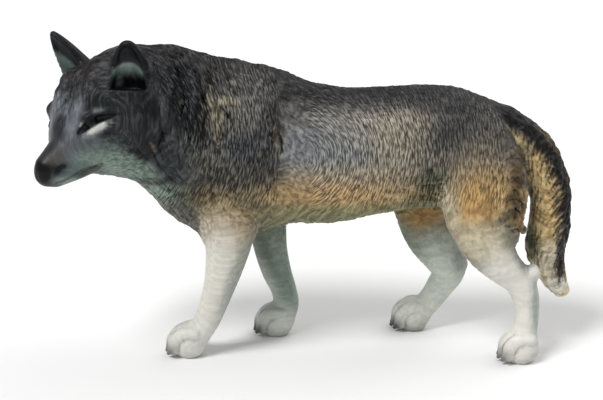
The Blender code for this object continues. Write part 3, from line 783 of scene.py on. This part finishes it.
# strands too fine to lay one by one: noise drawn out along the fur
edge = verts[net.j] - verts[net.i]
lengths = np.linalg.norm(edge, axis=1)
toward = (edge * flow[net.i]).sum(1) / (lengths + 1e-9)
w_along = np.abs(toward) ** 6 + 0.003
noise = rng.standard_normal(len(verts))
strand = noise.copy()
for _ in range(14):
    strand = 0.35 * strand + 0.65 * net.gather(strand, w_along)
wide_mean = strand.copy()
for _ in range(6):
    wide_mean = net.gather(wide_mean, np.ones(len(net.i)))
strand = strand - wide_mean
strand /= np.std(strand)
strand = np.clip(strand, -2.2, 2.2)

even = np.ones(len(net.i))
mean = height.copy()
for _ in range(10):
    mean = net.gather(mean, even)
relief = (height - mean) / (lock_deep + 0.15)

fine_deep = np.clip(0.05 + 0.2 * np.clip(lock_deep, 0, 0.9), 0, 0.22) * (1 - bare) * (1 - 0.7 * G["ear"])
fine_deep *= smooth(lock_deep, 0.02, 0.35) * 0.85 + 0.15
push = (height - 0.45 * lock_deep) * 1.25 + strand * fine_deep
push *= smooth(verts[:, 2], 0.2, 5)
shaped = verts + normals * push[:, None]
shape_n = net.normals(shaped)
# how hollow the skin is here, on the scale of a toe's groove
soft = shaped.copy()
for _ in range(8):
    soft = net.gather(soft, even)
hollow = ((soft - shaped) * shape_n).sum(1)
print("strands")


def distance_along(way, stiff):
    """A number that grows by one for each mm along `way`, and stays as level as it can along `stiff`."""
    half = len(net.i) // 2
    a, b = net.i[:half], net.j[:half]
    d = verts[b] - verts[a]
    want = (d * (way[a] + way[b])).sum(1) / 2
    w = 1 + 8 * ((d * unit(stiff[a] + stiff[b])).sum(1) ** 2 / ((d * d).sum(1) + 1e-9)) ** 2
    n = len(verts)
    diagonal = np.bincount(a, w, n) + np.bincount(b, w, n)
    r = np.bincount(b, w * want, n) - np.bincount(a, w * want, n)
    x, z = np.zeros(n), r / diagonal
    p, rz = z.copy(), r @ z
    for _ in range(650):
        g = w * (p[b] - p[a])
        q = np.bincount(b, g, n) - np.bincount(a, g, n)
        step = rz / (p @ q + 1e-30)
        x += step * p
        r -= step * q
        z = r / diagonal
        new = r @ z
        p = z + new / (rz + 1e-30) * p
        rz = new
    return x


crosswise = np.cross(normals, flow)
fur_across, fur_along = POOL.map(lambda pair: distance_along(*pair), ((crosswise, flow), (flow, crosswise)))
# the coat sweeps in arcs: on the flank round the hollow behind the elbow, on the shoulder round the throat
arc_across, arc_along, arc_share = np.zeros(len(verts)), np.zeros(len(verts)), np.zeros(len(verts))
for u0, v0, left, right in ((292, 158, 300, 512), (80, 140, 150, 284)):
    here = (uv[:, 0] > (left if u0 > 200 else 0)) & (uv[:, 0] < (999 if u0 > 200 else 292))
    r = np.hypot(uv[:, 0] - u0, uv[:, 1] - v0)
    turn = np.arctan2(uv[:, 1] - v0, uv[:, 0] - u0)
    arc_across[here] = r[here] / 1.37
    arc_along[here] = (r * turn)[here] / 1.37
    arc_share = np.maximum(arc_share, smooth(uv[:, 0], left, left + 16) * (1 - smooth(uv[:, 0], right - 12, right)))
arc_share *= (1 - smooth(uv[:, 1], 196, 222)) * (1 - headness) * (1 - smooth(G["tail"], 0.3, 0.7))
print("fur coordinates")

# ---------------------------------------------------------------- paint
def srgb(*c):
    c = np.asarray(c, float) / 255
    return np.where(c <= 0.04045, c / 12.92, ((c + 0.055) / 1.055) ** 2.4)


paint = np.tile(srgb(112, 108, 102), (len(verts), 1))


def spray(weight, colour):
    """A coat of this colour, as thick as the weight says."""
    global paint
    w = np.clip(weight, 0, 1)[:, None]
    paint = paint * (1 - w) + srgb(*colour) * w


def spot(uv_, u, v, ru, rv, angle=0, edge=0.5):
    """An oval spray on the drawing, soft at its rim."""
    a = radians(angle)
    x, y = uv_[:, 0] - u, uv_[:, 1] - v
    r = np.sqrt(((x * cos(a) + y * sin(a)) / ru) ** 2 + ((-x * sin(a) + y * cos(a)) / rv) ** 2)
    return 1 - smooth(r, 1 - edge, 1 + edge)


def stroke(uv_, points, edge=0.35):
    """A line of paint through (across, down, radius) rows."""
    best = np.full(len(uv_), 9.0)
    for (u0, v0, r0), (u1, v1, r1) in zip(points[:-1], points[1:]):
        d = np.array([u1 - u0, v1 - v0])
        q = uv_ - [u0, v0]
        t = np.clip(q @ d / (d @ d), 0, 1)
        best = np.minimum(best, np.linalg.norm(q - t[:, None] * d, axis=1) / (r0 + t * (r1 - r0)))
    return 1 - smooth(best, 1 - edge, 1 + edge)


ragged = 1.6 * strand + 4.0 * (number - 0.5)            # rims of the sprays follow the fur
body = (1 - headness)
duv = uv + ragged[:, None] * [0.6, 0.6]
TRUNK = [
    # u, v, ru, rv, angle, edge, colour, strength
    (350, 203, 100, 26, 0, 0.7, (166, 150, 110), 0.9),
    (340, 190, 60, 15, 0, 0.9, (206, 168, 116), 0.75),
    (300, 194, 34, 15, 0, 0.9, (168, 144, 102), 0.6),
    (345, 215, 95, 9, 0, 0.7, (146, 144, 106), 0.8),
    (350, 140, 84, 40, 0, 0.7, (146, 143, 138), 0.88),
    (305, 146, 32, 22, 0, 0.9, (120, 124, 130), 0.7),
    (345, 158, 44, 16, 0, 0.9, (130, 134, 134), 0.7),
    (400, 124, 36, 30, 0, 0.8, (160, 152, 134), 0.6),
    (392, 158, 20, 24, 0, 0.9, (160, 150, 128), 0.5),
    (425, 150, 18, 26, 0, 0.8, (124, 118, 104), 0.6),
    (350, 174, 70, 9, 0, 0.95, (166, 152, 126), 0.45),
    (360, 90, 160, 18, 0, 0.6, (24, 25, 29), 0.97),
    (400, 104, 110, 10, 0, 0.9, (62, 62, 64), 0.4),
    (250, 68, 60, 14, 8, 0.5, (18, 20, 25), 0.97),
    (168, 86, 54, 54, 0, 0.35, (10, 12, 16), 0.98),
    (190, 118, 24, 42, 0, 0.5, (11, 13, 17), 0.95),
    (246, 104, 34, 30, 0, 0.6, (100, 98, 94), 0.9),
    (236, 122, 20, 14, 0, 0.7, (114, 111, 104), 0.6),
    (214, 112, 12, 16, 0, 0.7, (118, 113, 98), 0.7),
    (212, 78, 18, 14, 0, 0.6, (56, 54, 50), 0.6),
    (272, 126, 12, 34, 8, 0.6, (42, 43, 45), 0.85),
    (292, 112, 14, 10, 0, 0.6, (90, 88, 86), 0.6),
    (244, 148, 26, 18, 0, 0.7, (54, 58, 64), 0.85),
    (262, 172, 22, 20, 0, 0.7, (54, 56, 51), 0.8),
    (168, 158, 26, 26, 0, 0.5, (96, 112, 106), 0.95),
    (160, 180, 16, 14, 0, 0.6, (166, 184, 173), 0.9),
    (178, 190, 16, 16, 0, 0.6, (106, 122, 114), 0.85),
    (198, 176, 20, 22, 0, 0.6, (78, 76, 62), 0.85),
    (205, 200, 26, 22, 0, 0.7, (84, 82, 66), 0.9),
    (230, 208, 26, 18, 0, 0.6, (156, 140, 104), 0.85),
    (224, 178, 24, 14, 20, 0.7, (66, 62, 56), 0.8),
    (206, 196, 14, 10, 0, 0.7, (96, 74, 40), 0.5),
    (246, 206, 14, 10, 0, 0.7, (70, 66, 54), 0.6),
    (462, 106, 52, 22, 25, 0.7, (54, 54, 54), 0.85),
    (452, 138, 24, 20, 0, 0.7, (56, 56, 57), 0.85),
    (490, 136, 22, 26, 30, 0.8, (88, 84, 78), 0.6),
    (480, 168, 34, 24, 0, 0.8, (122, 115, 102), 0.85),
    (478, 208, 28, 36, 0, 0.85, (184, 158, 112), 0.9),
    (474, 202, 12, 20, 10, 0.95, (190, 148, 88), 0.6),
    (500, 194, 12, 22, 10, 0.9, (186, 156, 106), 0.65),
    (449, 208, 9, 26, -18, 0.7, (196, 186, 162), 0.7),
    (489, 208, 5, 26, 8, 0.9, (150, 112, 62), 0.45),
    (507, 232, 12, 20, 10, 0.6, (104, 102, 86), 0.7),
    (517, 198, 8, 42, 0, 0.6, (84, 66, 40), 0.85),
    (526, 196, 5, 7, 0, 0.8, (190, 160, 112), 0.65),
    (525, 214, 6, 7, 0, 0.8, (190, 160, 112), 0.7),
    (520, 226, 7, 6, 0, 0.8, (176, 146, 98), 0.6),
    # painted shade in the dark fold beneath the belly
    (432, 180, 15, 13, -30, 0.7, (62, 66, 50), 0.85),
    (424, 200, 18, 10, -20, 0.7, (96, 84, 46), 0.7),
]
for u, v, ru, rv, angle, rim, colour, strength in TRUNK:
    spray(spot(duv, u, v, ru, rv, angle, rim) * strength * body, colour)
for line, cut, colour, strength in TUFTS:
    spray(stroke(uv + 0.25 * ragged[:, None], [(u, v, 1.35 * r) for u, v, r in line], 0.6) * strength * body, colour)

# painted shade and painted reflection: surfaces facing down, beneath the belly and inside the legs, are darkened to
# green-grey for the green light thrown up from grass below
underside_shade_and_reflection = smooth(-shape_n[:, 2], 0.3, 0.9) * body * smooth(verts[:, 2], 60, 90)
spray(underside_shade_and_reflection * 0.6, (118, 122, 96))

own = uv_own + ragged[:, None] * [0.5, 0.5]
# the narrow grey-green strips along the legs' sides are painted shade
for g, spots in (
    ("lf", [
        (228, 236, 30, 26, 0, 0.7, (172, 152, 116), 0.9), (218, 294, 34, 66, 0, 0.5, (224, 222, 212), 0.97),
        (240, 262, 6, 36, 22, 0.8, (150, 156, 148), 0.7), (232, 296, 6, 26, 25, 0.8, (146, 158, 154), 0.6),
        (188, 342, 30, 22, 0, 0.5, (230, 229, 222), 0.9)]),
    ("rf", [
        (272, 238, 30, 34, 0, 0.7, (112, 122, 108), 0.95), (280, 294, 30, 46, 0, 0.7, (188, 198, 188), 0.9),
        (284, 278, 9, 34, -12, 0.8, (122, 138, 128), 0.8), (268, 256, 6, 24, -20, 0.8, (104, 116, 104), 0.7),
        (274, 322, 26, 16, 0, 0.5, (212, 214, 208), 0.85)]),
    ("lh", [
        (488, 246, 34, 20, 10, 0.6, (208, 200, 176), 0.85), (516, 300, 44, 52, 0, 0.35, (228, 226, 217), 0.97),
        (535, 310, 4, 40, 0, 0.8, (140, 154, 152), 0.7), (524, 262, 7, 16, -35, 0.7, (118, 122, 116), 0.8),
        (512, 240, 10, 10, 0, 0.7, (110, 108, 92), 0.7), (534, 272, 7, 6, 0, 0.5, (234, 231, 222), 0.9),
        (516, 346, 26, 22, 0, 0.5, (232, 230, 223), 0.9)]),
    ("rh", [
        (424, 212, 26, 20, 0, 0.6, (158, 134, 84), 0.9), (424, 216, 10, 10, 0, 0.7, (146, 104, 52), 0.5),
        (444, 250, 30, 22, 0, 0.7, (180, 190, 178), 0.92), (430, 290, 50, 36, 0, 0.5, (212, 219, 208), 0.95),
        (458, 256, 6, 14, 0, 0.7, (140, 150, 142), 0.7), (408, 238, 7, 26, -38, 0.7, (140, 150, 132), 0.6),
        (405, 312, 28, 16, 0, 0.5, (220, 220, 213), 0.85)]),
):
    legness = smooth(G[g], 0.3, 0.8)
    # a far leg's outer side is painted like the near one's
    for u, v, ru, rv, angle, rim, colour, strength in spots:
        spray(spot(own, u, v, ru, rv, angle, rim) * strength * legness, colour)
    for pu, pv, px in {"lf": [(188, 349, 20.5)], "rf": [(275, 325, -22)], "lh": [(519, 354, 32)], "rh": [(411, 318, -33)]}[g]:
        c = point(pu, pv, px)
        front = c[1] - verts[:, 1]
        toe = smooth(front + 0.25 * verts[:, 2], 7, 15) * (1 - smooth(verts[:, 2], 6, 17)) * smooth(G[g], 0.3, 0.6)
        spray(toe * (0.85 if g in ("rf", "rh") else 0.65), (48, 50, 54))

tail_w = smooth(G["tail"], 0.35, 0.75)
spray(tail_w * smooth(uv[:, 1], 118, 134), (204, 186, 144))
tuv = uv + (3.2 * strand + 9.0 * (number - 0.5))[:, None] * [0.8, 0.5]
for u, v, ru, rv, angle, rim, colour, strength in [
    (530, 180, 8, 40, 0, 0.6, (72, 82, 68), 0.9), (529, 222, 8, 34, 0, 0.6, (80, 88, 66), 0.9),
    (530, 214, 6, 12, 0, 0.7, (150, 100, 44), 0.6), (532, 248, 8, 22, 0, 0.7, (96, 100, 78), 0.8),
    (550, 205, 9, 34, 0, 0.7, (196, 160, 104), 0.6), (542, 160, 8, 26, 30, 0.7, (214, 184, 132), 0.8),
    (548, 262, 9, 20, 20, 0.7, (214, 206, 188), 0.85), (558, 284, 9, 9, 0, 0.6, (226, 224, 216), 0.95),
    (514, 119, 26, 11, 38, 0.5, (24, 24, 28), 0.97), (542, 142, 26, 9, 52, 0.5, (22, 22, 26), 0.97),
    (560, 172, 26, 9, 72, 0.5, (22, 22, 26), 0.97), (569, 208, 30, 9, 90, 0.5, (24, 24, 28), 0.97),
    (566, 244, 26, 8, 98, 0.5, (26, 26, 30), 0.95), (560, 268, 14, 5, 100, 0.7, (40, 40, 42), 0.8),
]:
    spray(spot(tuv, u, v, ru, rv, angle, rim) * strength * tail_w, colour)
# dark strands sweep from the tail's outer edge over the pale fur
outer = np.array([(506, 118), (524, 126), (540, 139), (553, 154), (562, 172), (566, 192), (567, 212), (565, 232),
                  (561, 252), (561, 272)], float)
for k, t in enumerate(np.linspace(0, 1, 34)):
    u0, v0 = (np.interp(t, np.linspace(0, 1, len(outer)), outer[:, c]) for c in (0, 1))
    a = radians(np.interp(t, [0, 0.25, 0.6, 1], [78, 112, 138, 104]) + 9 * ((k * 0.618) % 1) - 4)
    L = np.interp(t, [0, 0.3, 0.7, 1], [13, 20, 21, 10]) * (0.75 + 0.5 * ((k * 0.382) % 1))
    bow = 1.6
    spray(stroke(uv, [(u0, v0, 1.9), (u0 + cos(a) * L * 0.5 - sin(a) * bow, v0 + sin(a) * L * 0.5 + cos(a) * bow, 1.3),
                      (u0 + cos(a) * L, v0 + sin(a) * L, 0.45)], 0.5) * 0.9 * tail_w, (20, 19, 21))

hw = headness
spray(hw, (46, 49, 53))
rough_uv = huv + (0.5 * ragged * smooth(lock_deep, 0.1, 0.4))[:, None] * [0.8, 0.6]
for u, v, ru, rv, angle, rim, colour, strength in [
    (96, 56, 26, 12, -8, 0.5, (44, 44, 45), 0.9), (86, 74, 22, 9, -12, 0.6, (40, 38, 38), 0.8),
    (118, 104, 20, 12, 10, 0.7, (40, 43, 47), 0.85), (100, 94, 16, 8, 0, 0.7, (36, 40, 43), 0.85),
    (62, 92, 8, 12, 20, 0.6, (70, 75, 78), 0.7), (104, 150, 34, 10, 12, 0.7, (112, 124, 119), 0.85),
    (84, 142, 14, 9, -20, 0.7, (92, 98, 102), 0.8), (74, 158, 16, 8, -30, 0.6, (84, 93, 97), 0.85),
    (110, 163, 36, 10, 8, 0.6, (136, 152, 141), 0.95), (132, 170, 26, 9, 10, 0.7, (124, 142, 129), 0.95),
    (76, 170, 14, 6, -28, 0.6, (110, 126, 121), 0.85), (66, 181, 13, 4.5, 0, 0.6, (148, 163, 154), 0.85),
    (66, 148, 8, 16, 30, 0.6, (98, 98, 103), 0.9), (72, 124, 6, 14, 14, 0.7, (130, 133, 140), 0.8),
    (77, 106, 6, 8, 10, 0.7, (136, 140, 145), 0.7), (66, 108, 5, 8, 15, 0.7, (132, 137, 142), 0.6),
    (53, 158, 9, 6, -30, 0.6, (92, 86, 80), 0.85),
    (134, 120, 18, 16, 30, 0.6, (38, 41, 44), 0.85), (150, 118, 10, 34, 0, 0.6, (17, 19, 23), 0.95),
    (146, 148, 12, 12, 30, 0.6, (26, 28, 31), 0.9), (126, 142, 14, 8, 25, 0.7, (62, 67, 69), 0.7),
    (146, 84, 10, 28, 0, 0.6, (15, 17, 22), 0.95), (128, 92, 16, 7, 0, 0.6, (27, 29, 33), 0.8),
]:
    spray(spot(rough_uv, u, v, ru, rv, angle, rim) * strength * hw, colour)
speck = net.gather(net.gather(rng.standard_normal(len(verts)), even), even)
speck = smooth(speck / speck.std(), 0.2, 1.0)
band = stroke(huv, [(68, 100, 4), (74, 88, 5), (80, 76, 5), (94, 76, 5), (112, 84, 5)], 0.6)
spray(band * speck * 0.9 * hw, (24, 18, 16))
spray(band * (1 - speck) * 0.35 * hw, (86, 80, 78))
for points, rim, colour, strength in [
    ([(86, 135.5, 3.4), (94, 131.5, 4.6), (103, 126.5, 4.2), (111, 122, 2.4)], 0.6, (150, 154, 156), 0.8),
    ([(90, 132.5, 2.0), (97, 129, 3.4), (104, 125, 2.8)], 0.5, (228, 226, 222), 0.95),
    ([(81, 126, 1.6), (83.5, 123.5, 1.8)], 0.6, (190, 196, 192), 0.85),
    ([(94, 110.5, 2.6), (101, 109.5, 2.4)], 0.7, (128, 136, 138), 0.85),
    ([(86, 122, 4.0), (89.5, 113, 3.6), (91, 107.5, 2.2)], 0.6, (26, 26, 30), 0.9),
    ([(79, 133, 2.4), (84, 128.5, 3.8), (91, 121.5, 5.0), (100, 117.5, 3.8), (109, 116, 2.8), (118, 114, 1.4)],
     0.35, (9, 9, 11), 0.99),
    # painted shadow beneath the lip corner, along the jaw line
    ([(78, 176, 1.4), (88, 172, 2.8), (97, 167.5, 3.0), (102, 164.5, 1.4)], 0.6, (46, 52, 48), 0.85),
    ([(56, 183, 0.8), (63, 181, 1.0), (71, 177, 1.1), (79, 172.5, 1.1)], 0.7, (60, 66, 64), 0.7),
    ([(134, 150, 2.0), (146, 158, 2.6), (157, 160, 2.4)], 0.7, (32, 34, 34), 0.85),
    ([(151, 142, 1.0), (154, 148, 1.6), (154, 153, 1.2)], 0.7, (150, 130, 116), 0.6),
]:
    spray(stroke(huv, points, rim) * strength * hw, colour)
nose = 1 - smooth(np.linalg.norm((h3 - [55, 0, -10.5]) / [9.5, 10.5, 8.0], axis=1), 0.85, 1.12)
spray(np.maximum(nose, stroke(huv, [(58, 169, 3.6), (64, 166, 2.4)], 0.5)) * hw, (13, 13, 15))
spray(smooth(G["ear"], 0.3, 0.65) * 0.98, (15, 17, 21))
for m in MASSES:
    if m.group != "ear":
        continue
    q = verts - m.base
    z, y, x = q @ m.up, q @ m.face, q @ m.side
    if isinstance(m, EarHollow):
        spray(cup, (98, 113, 108))
        spray(cup * (1 - smooth(np.hypot((z - 33) / 8, (x + 3) / 5), 0.4, 1.4)) * 0.6, (138, 150, 144))
        spray(cup * (1 - smooth(z, 23, 29)) * smooth(x, -9, -5), (9, 9, 11))
        spray(cup * np.maximum(1 - smooth(z, 15, 19), smooth(y, 2, 6) * (1 - smooth(z, 26, 32))), (12, 13, 16))
        spray(cup * np.maximum(smooth(x, 8.5, 11), smooth(z, m.high - 8, m.high - 4)) * 0.9, (14, 16, 20))
    elif m.base @ HL < HC @ HL:
        own_ear = smooth(G["ear"], 0.35, 0.7) * (np.linalg.norm(q - m.up * m.high / 2, axis=1) < 34)
        spray(own_ear * (1 - smooth(x + 0.1 * z, -7, -4)) * smooth(shape_n @ m.face, -0.2, 0.2)
              * (1 - smooth(z, m.high - 7, m.high - 3)), (128, 142, 136))

# painted shade in the grooves between the locks, and a painted highlight on the ridges
tone = np.clip(relief, -1.2, 1.2) * smooth(lock_deep, 0.05, 0.5) + 0.16 * strand * smooth(fine_deep, 0.01, 0.12)
dark = smooth(-tone, 0.0, 0.8) * (0.86 * smooth(lock_deep, 0.05, 0.5) + 0.1)
light = smooth(tone, 0.1, 1.0) * (0.6 * smooth(lock_deep, 0.05, 0.5) + 0.05)
paint = 0.86 * paint ** 1.1
lum = paint @ [0.2126, 0.7152, 0.0722]
groove_shade = paint * (0.14 + 0.6 * lum[:, None])
paint = paint * (1 - dark[:, None]) + groove_shade * dark[:, None]
ridge_highlight = np.clip(paint * 1.4 + 0.02, 0, 0.75)
paint = paint * (1 - light[:, None]) + ridge_highlight * light[:, None]
paint *= (1 + 0.12 * (number - 0.5) * (lock_deep > 0.3))[:, None]
limbs = G["lf"] + G["rf"] + G["lh"] + G["rh"]
# painted shade: the hollows between the toes and in the face are darkened
pit = smooth(hollow, 0.12, 0.75) * smooth(limbs * smooth(-verts[:, 2], -30, -14) + 0.6 * hw, 0.2, 0.7)
paint = paint * (1 - 0.8 * pit[:, None]) + srgb(30, 32, 34) * 0.8 * pit[:, None]
paint = np.clip(paint, 0, 1)
shine = np.clip(smooth(G["eye"], 0.3, 0.8) + nose * 0.4, 0, 1)
print("paint")

# ---------------------------------------------------------------- the skin as an object
mesh = bpy.data.meshes.new("wolf_skin")
out = ((shaped - ORIGIN) / 1000).astype(np.float32)
mesh.vertices.add(len(out))
mesh.vertices.foreach_set("co", out.ravel())
mesh.loops.add(quads.size)
mesh.loops.foreach_set("vertex_index", quads.ravel().astype(np.int32))
mesh.polygons.add(len(quads))
mesh.polygons.foreach_set("loop_start", np.arange(0, quads.size, 4, dtype=np.int32))
mesh.update(calc_edges=True)
mesh.validate()
wolf = bpy.data.objects.new("wolf_skin", mesh)
bpy.context.scene.collection.objects.link(wolf)
thin = wolf.modifiers.new("Thin", "DECIMATE")
thin.ratio = TRIANGLES / (2 * len(quads))
graph = bpy.context.evaluated_depsgraph_get()
final = bpy.data.meshes.new_from_object(wolf.evaluated_get(graph))
wolf.modifiers.clear()
wolf.data = final
bpy.data.meshes.remove(mesh)
final.name = "wolf_skin"
count = len(final.vertices)
co = np.empty(count * 3, np.float32)
final.vertices.foreach_get("co", co)
co = co.reshape(-1, 3).astype(float) * 1000 + ORIGIN
tree = kdtree.KDTree(len(shaped))
for i, p in enumerate(shaped):
    tree.insert(p, i)
tree.balance()
idx = np.empty((count, 3), int)
wt = np.empty((count, 3))
for i, p in enumerate(co):
    for k, (_, j, d) in enumerate(tree.find_n(p, 3)):
        idx[i, k] = j
        wt[i, k] = 1 / (d + 0.05) ** 2
wt /= wt.sum(1)[:, None]


def carry(a):
    return (a[idx] * (wt if a.ndim == 1 else wt[:, :, None])).sum(1)


def attribute(name, kind, data):
    att = final.attributes.new(name, kind, "POINT")
    att.data.foreach_set("color" if kind == "FLOAT_COLOR" else ("vector" if kind == "FLOAT_VECTOR" else "value"),
                         np.ascontiguousarray(data, np.float32).ravel())


colour = carry(paint)
attribute("paint", "FLOAT_COLOR", np.concatenate([colour, np.ones((count, 1))], 1))
attribute("shine", "FLOAT", carry(shine))
attribute("fur", "FLOAT", carry(np.clip(0.16 + 1.3 * lock_deep, 0, 1) * (1 - bare) * (1 - cup) * (0.55 + 0.45 * arc_share)
                                * (1 - 0.5 * np.clip(lum * 1.6, 0, 1))))
attribute("across", "FLOAT", carry(fur_across))
attribute("along", "FLOAT", carry(fur_along))
attribute("arc_across", "FLOAT", carry(arc_across))
attribute("arc_along", "FLOAT", carry(arc_along))
attribute("arc_share", "FLOAT", carry(arc_share))
final.polygons.foreach_set("use_smooth", np.ones(len(final.polygons), bool))
final.update()
print("object", len(final.polygons))

# ---------------------------------------------------------------- material
mat = bpy.data.materials.new("painted_resin")
mat.use_nodes = True
nt = mat.node_tree
bsdf = nt.nodes["Principled BSDF"]


def node(kind, **values):
    n = nt.nodes.new(kind)
    for k, v in values.items():
        setattr(n, k, v)
    return n


col = node("ShaderNodeAttribute", attribute_name="paint")
shn = node("ShaderNodeAttribute", attribute_name="shine")
geo = node("ShaderNodeTexCoord")
grain = node("ShaderNodeTexNoise")
grain.inputs["Scale"].default_value = 900
grain.inputs["Detail"].default_value = 3
nt.links.new(geo.outputs["Object"], grain.inputs["Vector"])


def math(op, a, b):
    n = node("ShaderNodeMath", operation=op)
    for slot, value in enumerate((a, b)):
        if isinstance(value, (int, float)):
            n.inputs[slot].default_value = value
        else:
            nt.links.new(value, n.inputs[slot])
    return n.outputs[0]


def mapped(value, low, high, to_low, to_high):
    n = node("ShaderNodeMapRange")
    for name, v in zip(("From Min", "From Max", "To Min", "To Max"), (low, high, to_low, to_high)):
        n.inputs[name].default_value = v
    nt.links.new(value, n.inputs["Value"])
    return n.outputs["Result"]


def strands(x, y, pitch, stretch, wander, detail):
    """Noise drawn out along the fur: pitch and stretch in mm."""
    bend = node("ShaderNodeTexNoise")
    bend.inputs["Scale"].default_value = 140
    bend.inputs["Detail"].default_value = 1
    nt.links.new(geo.outputs["Object"], bend.inputs["Vector"])
    side = math("ADD", math("DIVIDE", x.outputs["Fac"], pitch), math("MULTIPLY", bend.outputs["Fac"], wander))
    at = node("ShaderNodeCombineXYZ")
    nt.links.new(side, at.inputs["X"])
    nt.links.new(math("DIVIDE", y.outputs["Fac"], stretch), at.inputs["Y"])
    n = node("ShaderNodeTexNoise", noise_dimensions="2D")
    n.inputs["Scale"].default_value = 1
    n.inputs["Detail"].default_value = detail
    n.inputs["Roughness"].default_value = 0.55
    nt.links.new(at.outputs["Vector"], n.inputs["Vector"])
    return n.outputs["Fac"]


fur_x = node("ShaderNodeAttribute", attribute_name="across")
fur_y = node("ShaderNodeAttribute", attribute_name="along")
furry = node("ShaderNodeAttribute", attribute_name="fur")
arc_x = node("ShaderNodeAttribute", attribute_name="arc_across")
arc_y = node("ShaderNodeAttribute", attribute_name="arc_along")
arc = node("ShaderNodeAttribute", attribute_name="arc_share")


def coat(x, y, pitch, stretch, wander):
    wisp = mapped(strands(x, y, pitch, stretch, wander, 1.5), 0.38, 0.62, 0, 1)
    hair = mapped(strands(x, y, 0.55 * pitch, 0.8 * stretch, wander, 1.0), 0.34, 0.66, 0, 1)
    return math("ADD", math("MULTIPLY", wisp, 0.7), math("MULTIPLY", hair, 0.3))


streak = math("ADD", math("MULTIPLY", coat(arc_x, arc_y, 1.15, 6.5, 1.0), arc.outputs["Fac"]),
              math("MULTIPLY", coat(fur_x, fur_y, 1.1, 5.0, 0.8), math("SUBTRACT", 1.0, arc.outputs["Fac"])))
# painted shade and painted highlight: the colour is darkened in the grooves of the strand pattern and lightened on its
# crests, in step with the bump
tint = math("ADD", math("MULTIPLY", mapped(streak, 0.1, 0.9, -0.86, 0.78), furry.outputs["Fac"]),
            mapped(grain.outputs["Fac"], 0, 1, 0.9, 1.1))
mul = node("ShaderNodeVectorMath", operation="SCALE")
nt.links.new(col.outputs["Color"], mul.inputs[0])
nt.links.new(tint, mul.inputs["Scale"])
# painted highlight: glints of light on the finest hairs are added to the colour, most plainly where the coat is black
hair_glint = node("ShaderNodeVectorMath", operation="ADD")
nt.links.new(mul.outputs["Vector"], hair_glint.inputs[0])
nt.links.new(math("MULTIPLY", mapped(streak, 0.6, 0.95, 0, 0.045), furry.outputs["Fac"]), hair_glint.inputs[1])
nt.links.new(hair_glint.outputs["Vector"], bsdf.inputs["Base Color"])
rough = node("ShaderNodeMapRange")
rough.inputs["To Min"].default_value = 0.42
rough.inputs["To Max"].default_value = 0.12
nt.links.new(shn.outputs["Fac"], rough.inputs["Value"])
nt.links.new(rough.outputs["Result"], bsdf.inputs["Roughness"])
bump = node("ShaderNodeBump")
bump.inputs["Strength"].default_value = 0.9
bump.inputs["Distance"].default_value = 0.0006
nt.links.new(math("ADD", math("MULTIPLY", streak, furry.outputs["Fac"]), math("MULTIPLY", grain.outputs["Fac"], 0.12)),
             bump.inputs["Height"])
nt.links.new(bump.outputs["Normal"], bsdf.inputs["Normal"])
bsdf.inputs["IOR"].default_value = 1.48
bsdf.inputs["Specular IOR Level"].default_value = 0.2
final.materials.clear()
final.materials.append(mat)

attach(wolf, "root")
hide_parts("wolf")

# ---------------------------------------------------------------- stage
bpy.ops.mesh.primitive_plane_add(size=12, location=(0, 0, 0))
floor = bpy.context.object
floor.name = "floor"
white = bpy.data.materials.new("floor")
white.use_nodes = True
white.node_tree.nodes["Principled BSDF"].inputs["Base Color"].default_value = (0.86, 0.86, 0.86, 1)
white.node_tree.nodes["Principled BSDF"].inputs["Roughness"].default_value = 0.9
floor.data.materials.append(white)

scene = bpy.context.scene
world = bpy.data.worlds.new("studio")
scene.world = world
world.use_nodes = True
world.node_tree.nodes["Background"].inputs[0].default_value = (1, 1, 1, 1)
world.node_tree.nodes["Background"].inputs[1].default_value = 0.5


def sky_lamp(name, place, spread, strength):
    """Light from far off, as soft as its spread."""
    data = bpy.data.lights.new(name, "SUN")
    data.angle = radians(spread)
    data.energy = strength
    o = bpy.data.objects.new(name, data)
    o.rotation_euler = (-Vector(place)).to_track_quat("-Z", "Y").to_euler()
    scene.collection.objects.link(o)


sky_lamp("key", (0.5, -0.5, 0.95), 22, 2.1)
sky_lamp("back", (-0.4, 0.6, 1.0), 50, 0.9)

camera = bpy.data.objects.new("camera", bpy.data.cameras.new("camera"))
scene.collection.objects.link(camera)
scene.camera = camera
camera.data.sensor_width = 36
camera.data.lens = VIEW_FOCUS / 603 * 36
camera.data.clip_start, camera.data.clip_end = 0.01, 50
middle = Vector((0, 0, MIDDLE_HEIGHT)) - Vector(ORIGIN)
eye = middle + Vector((cos(VIEW_TILT), 0, sin(VIEW_TILT))) * VIEW_DISTANCE
camera.location = eye / 1000
camera.rotation_euler = (middle - eye).to_track_quat("-Z", "Y").to_euler()
scene.view_settings.view_transform = "Standard"
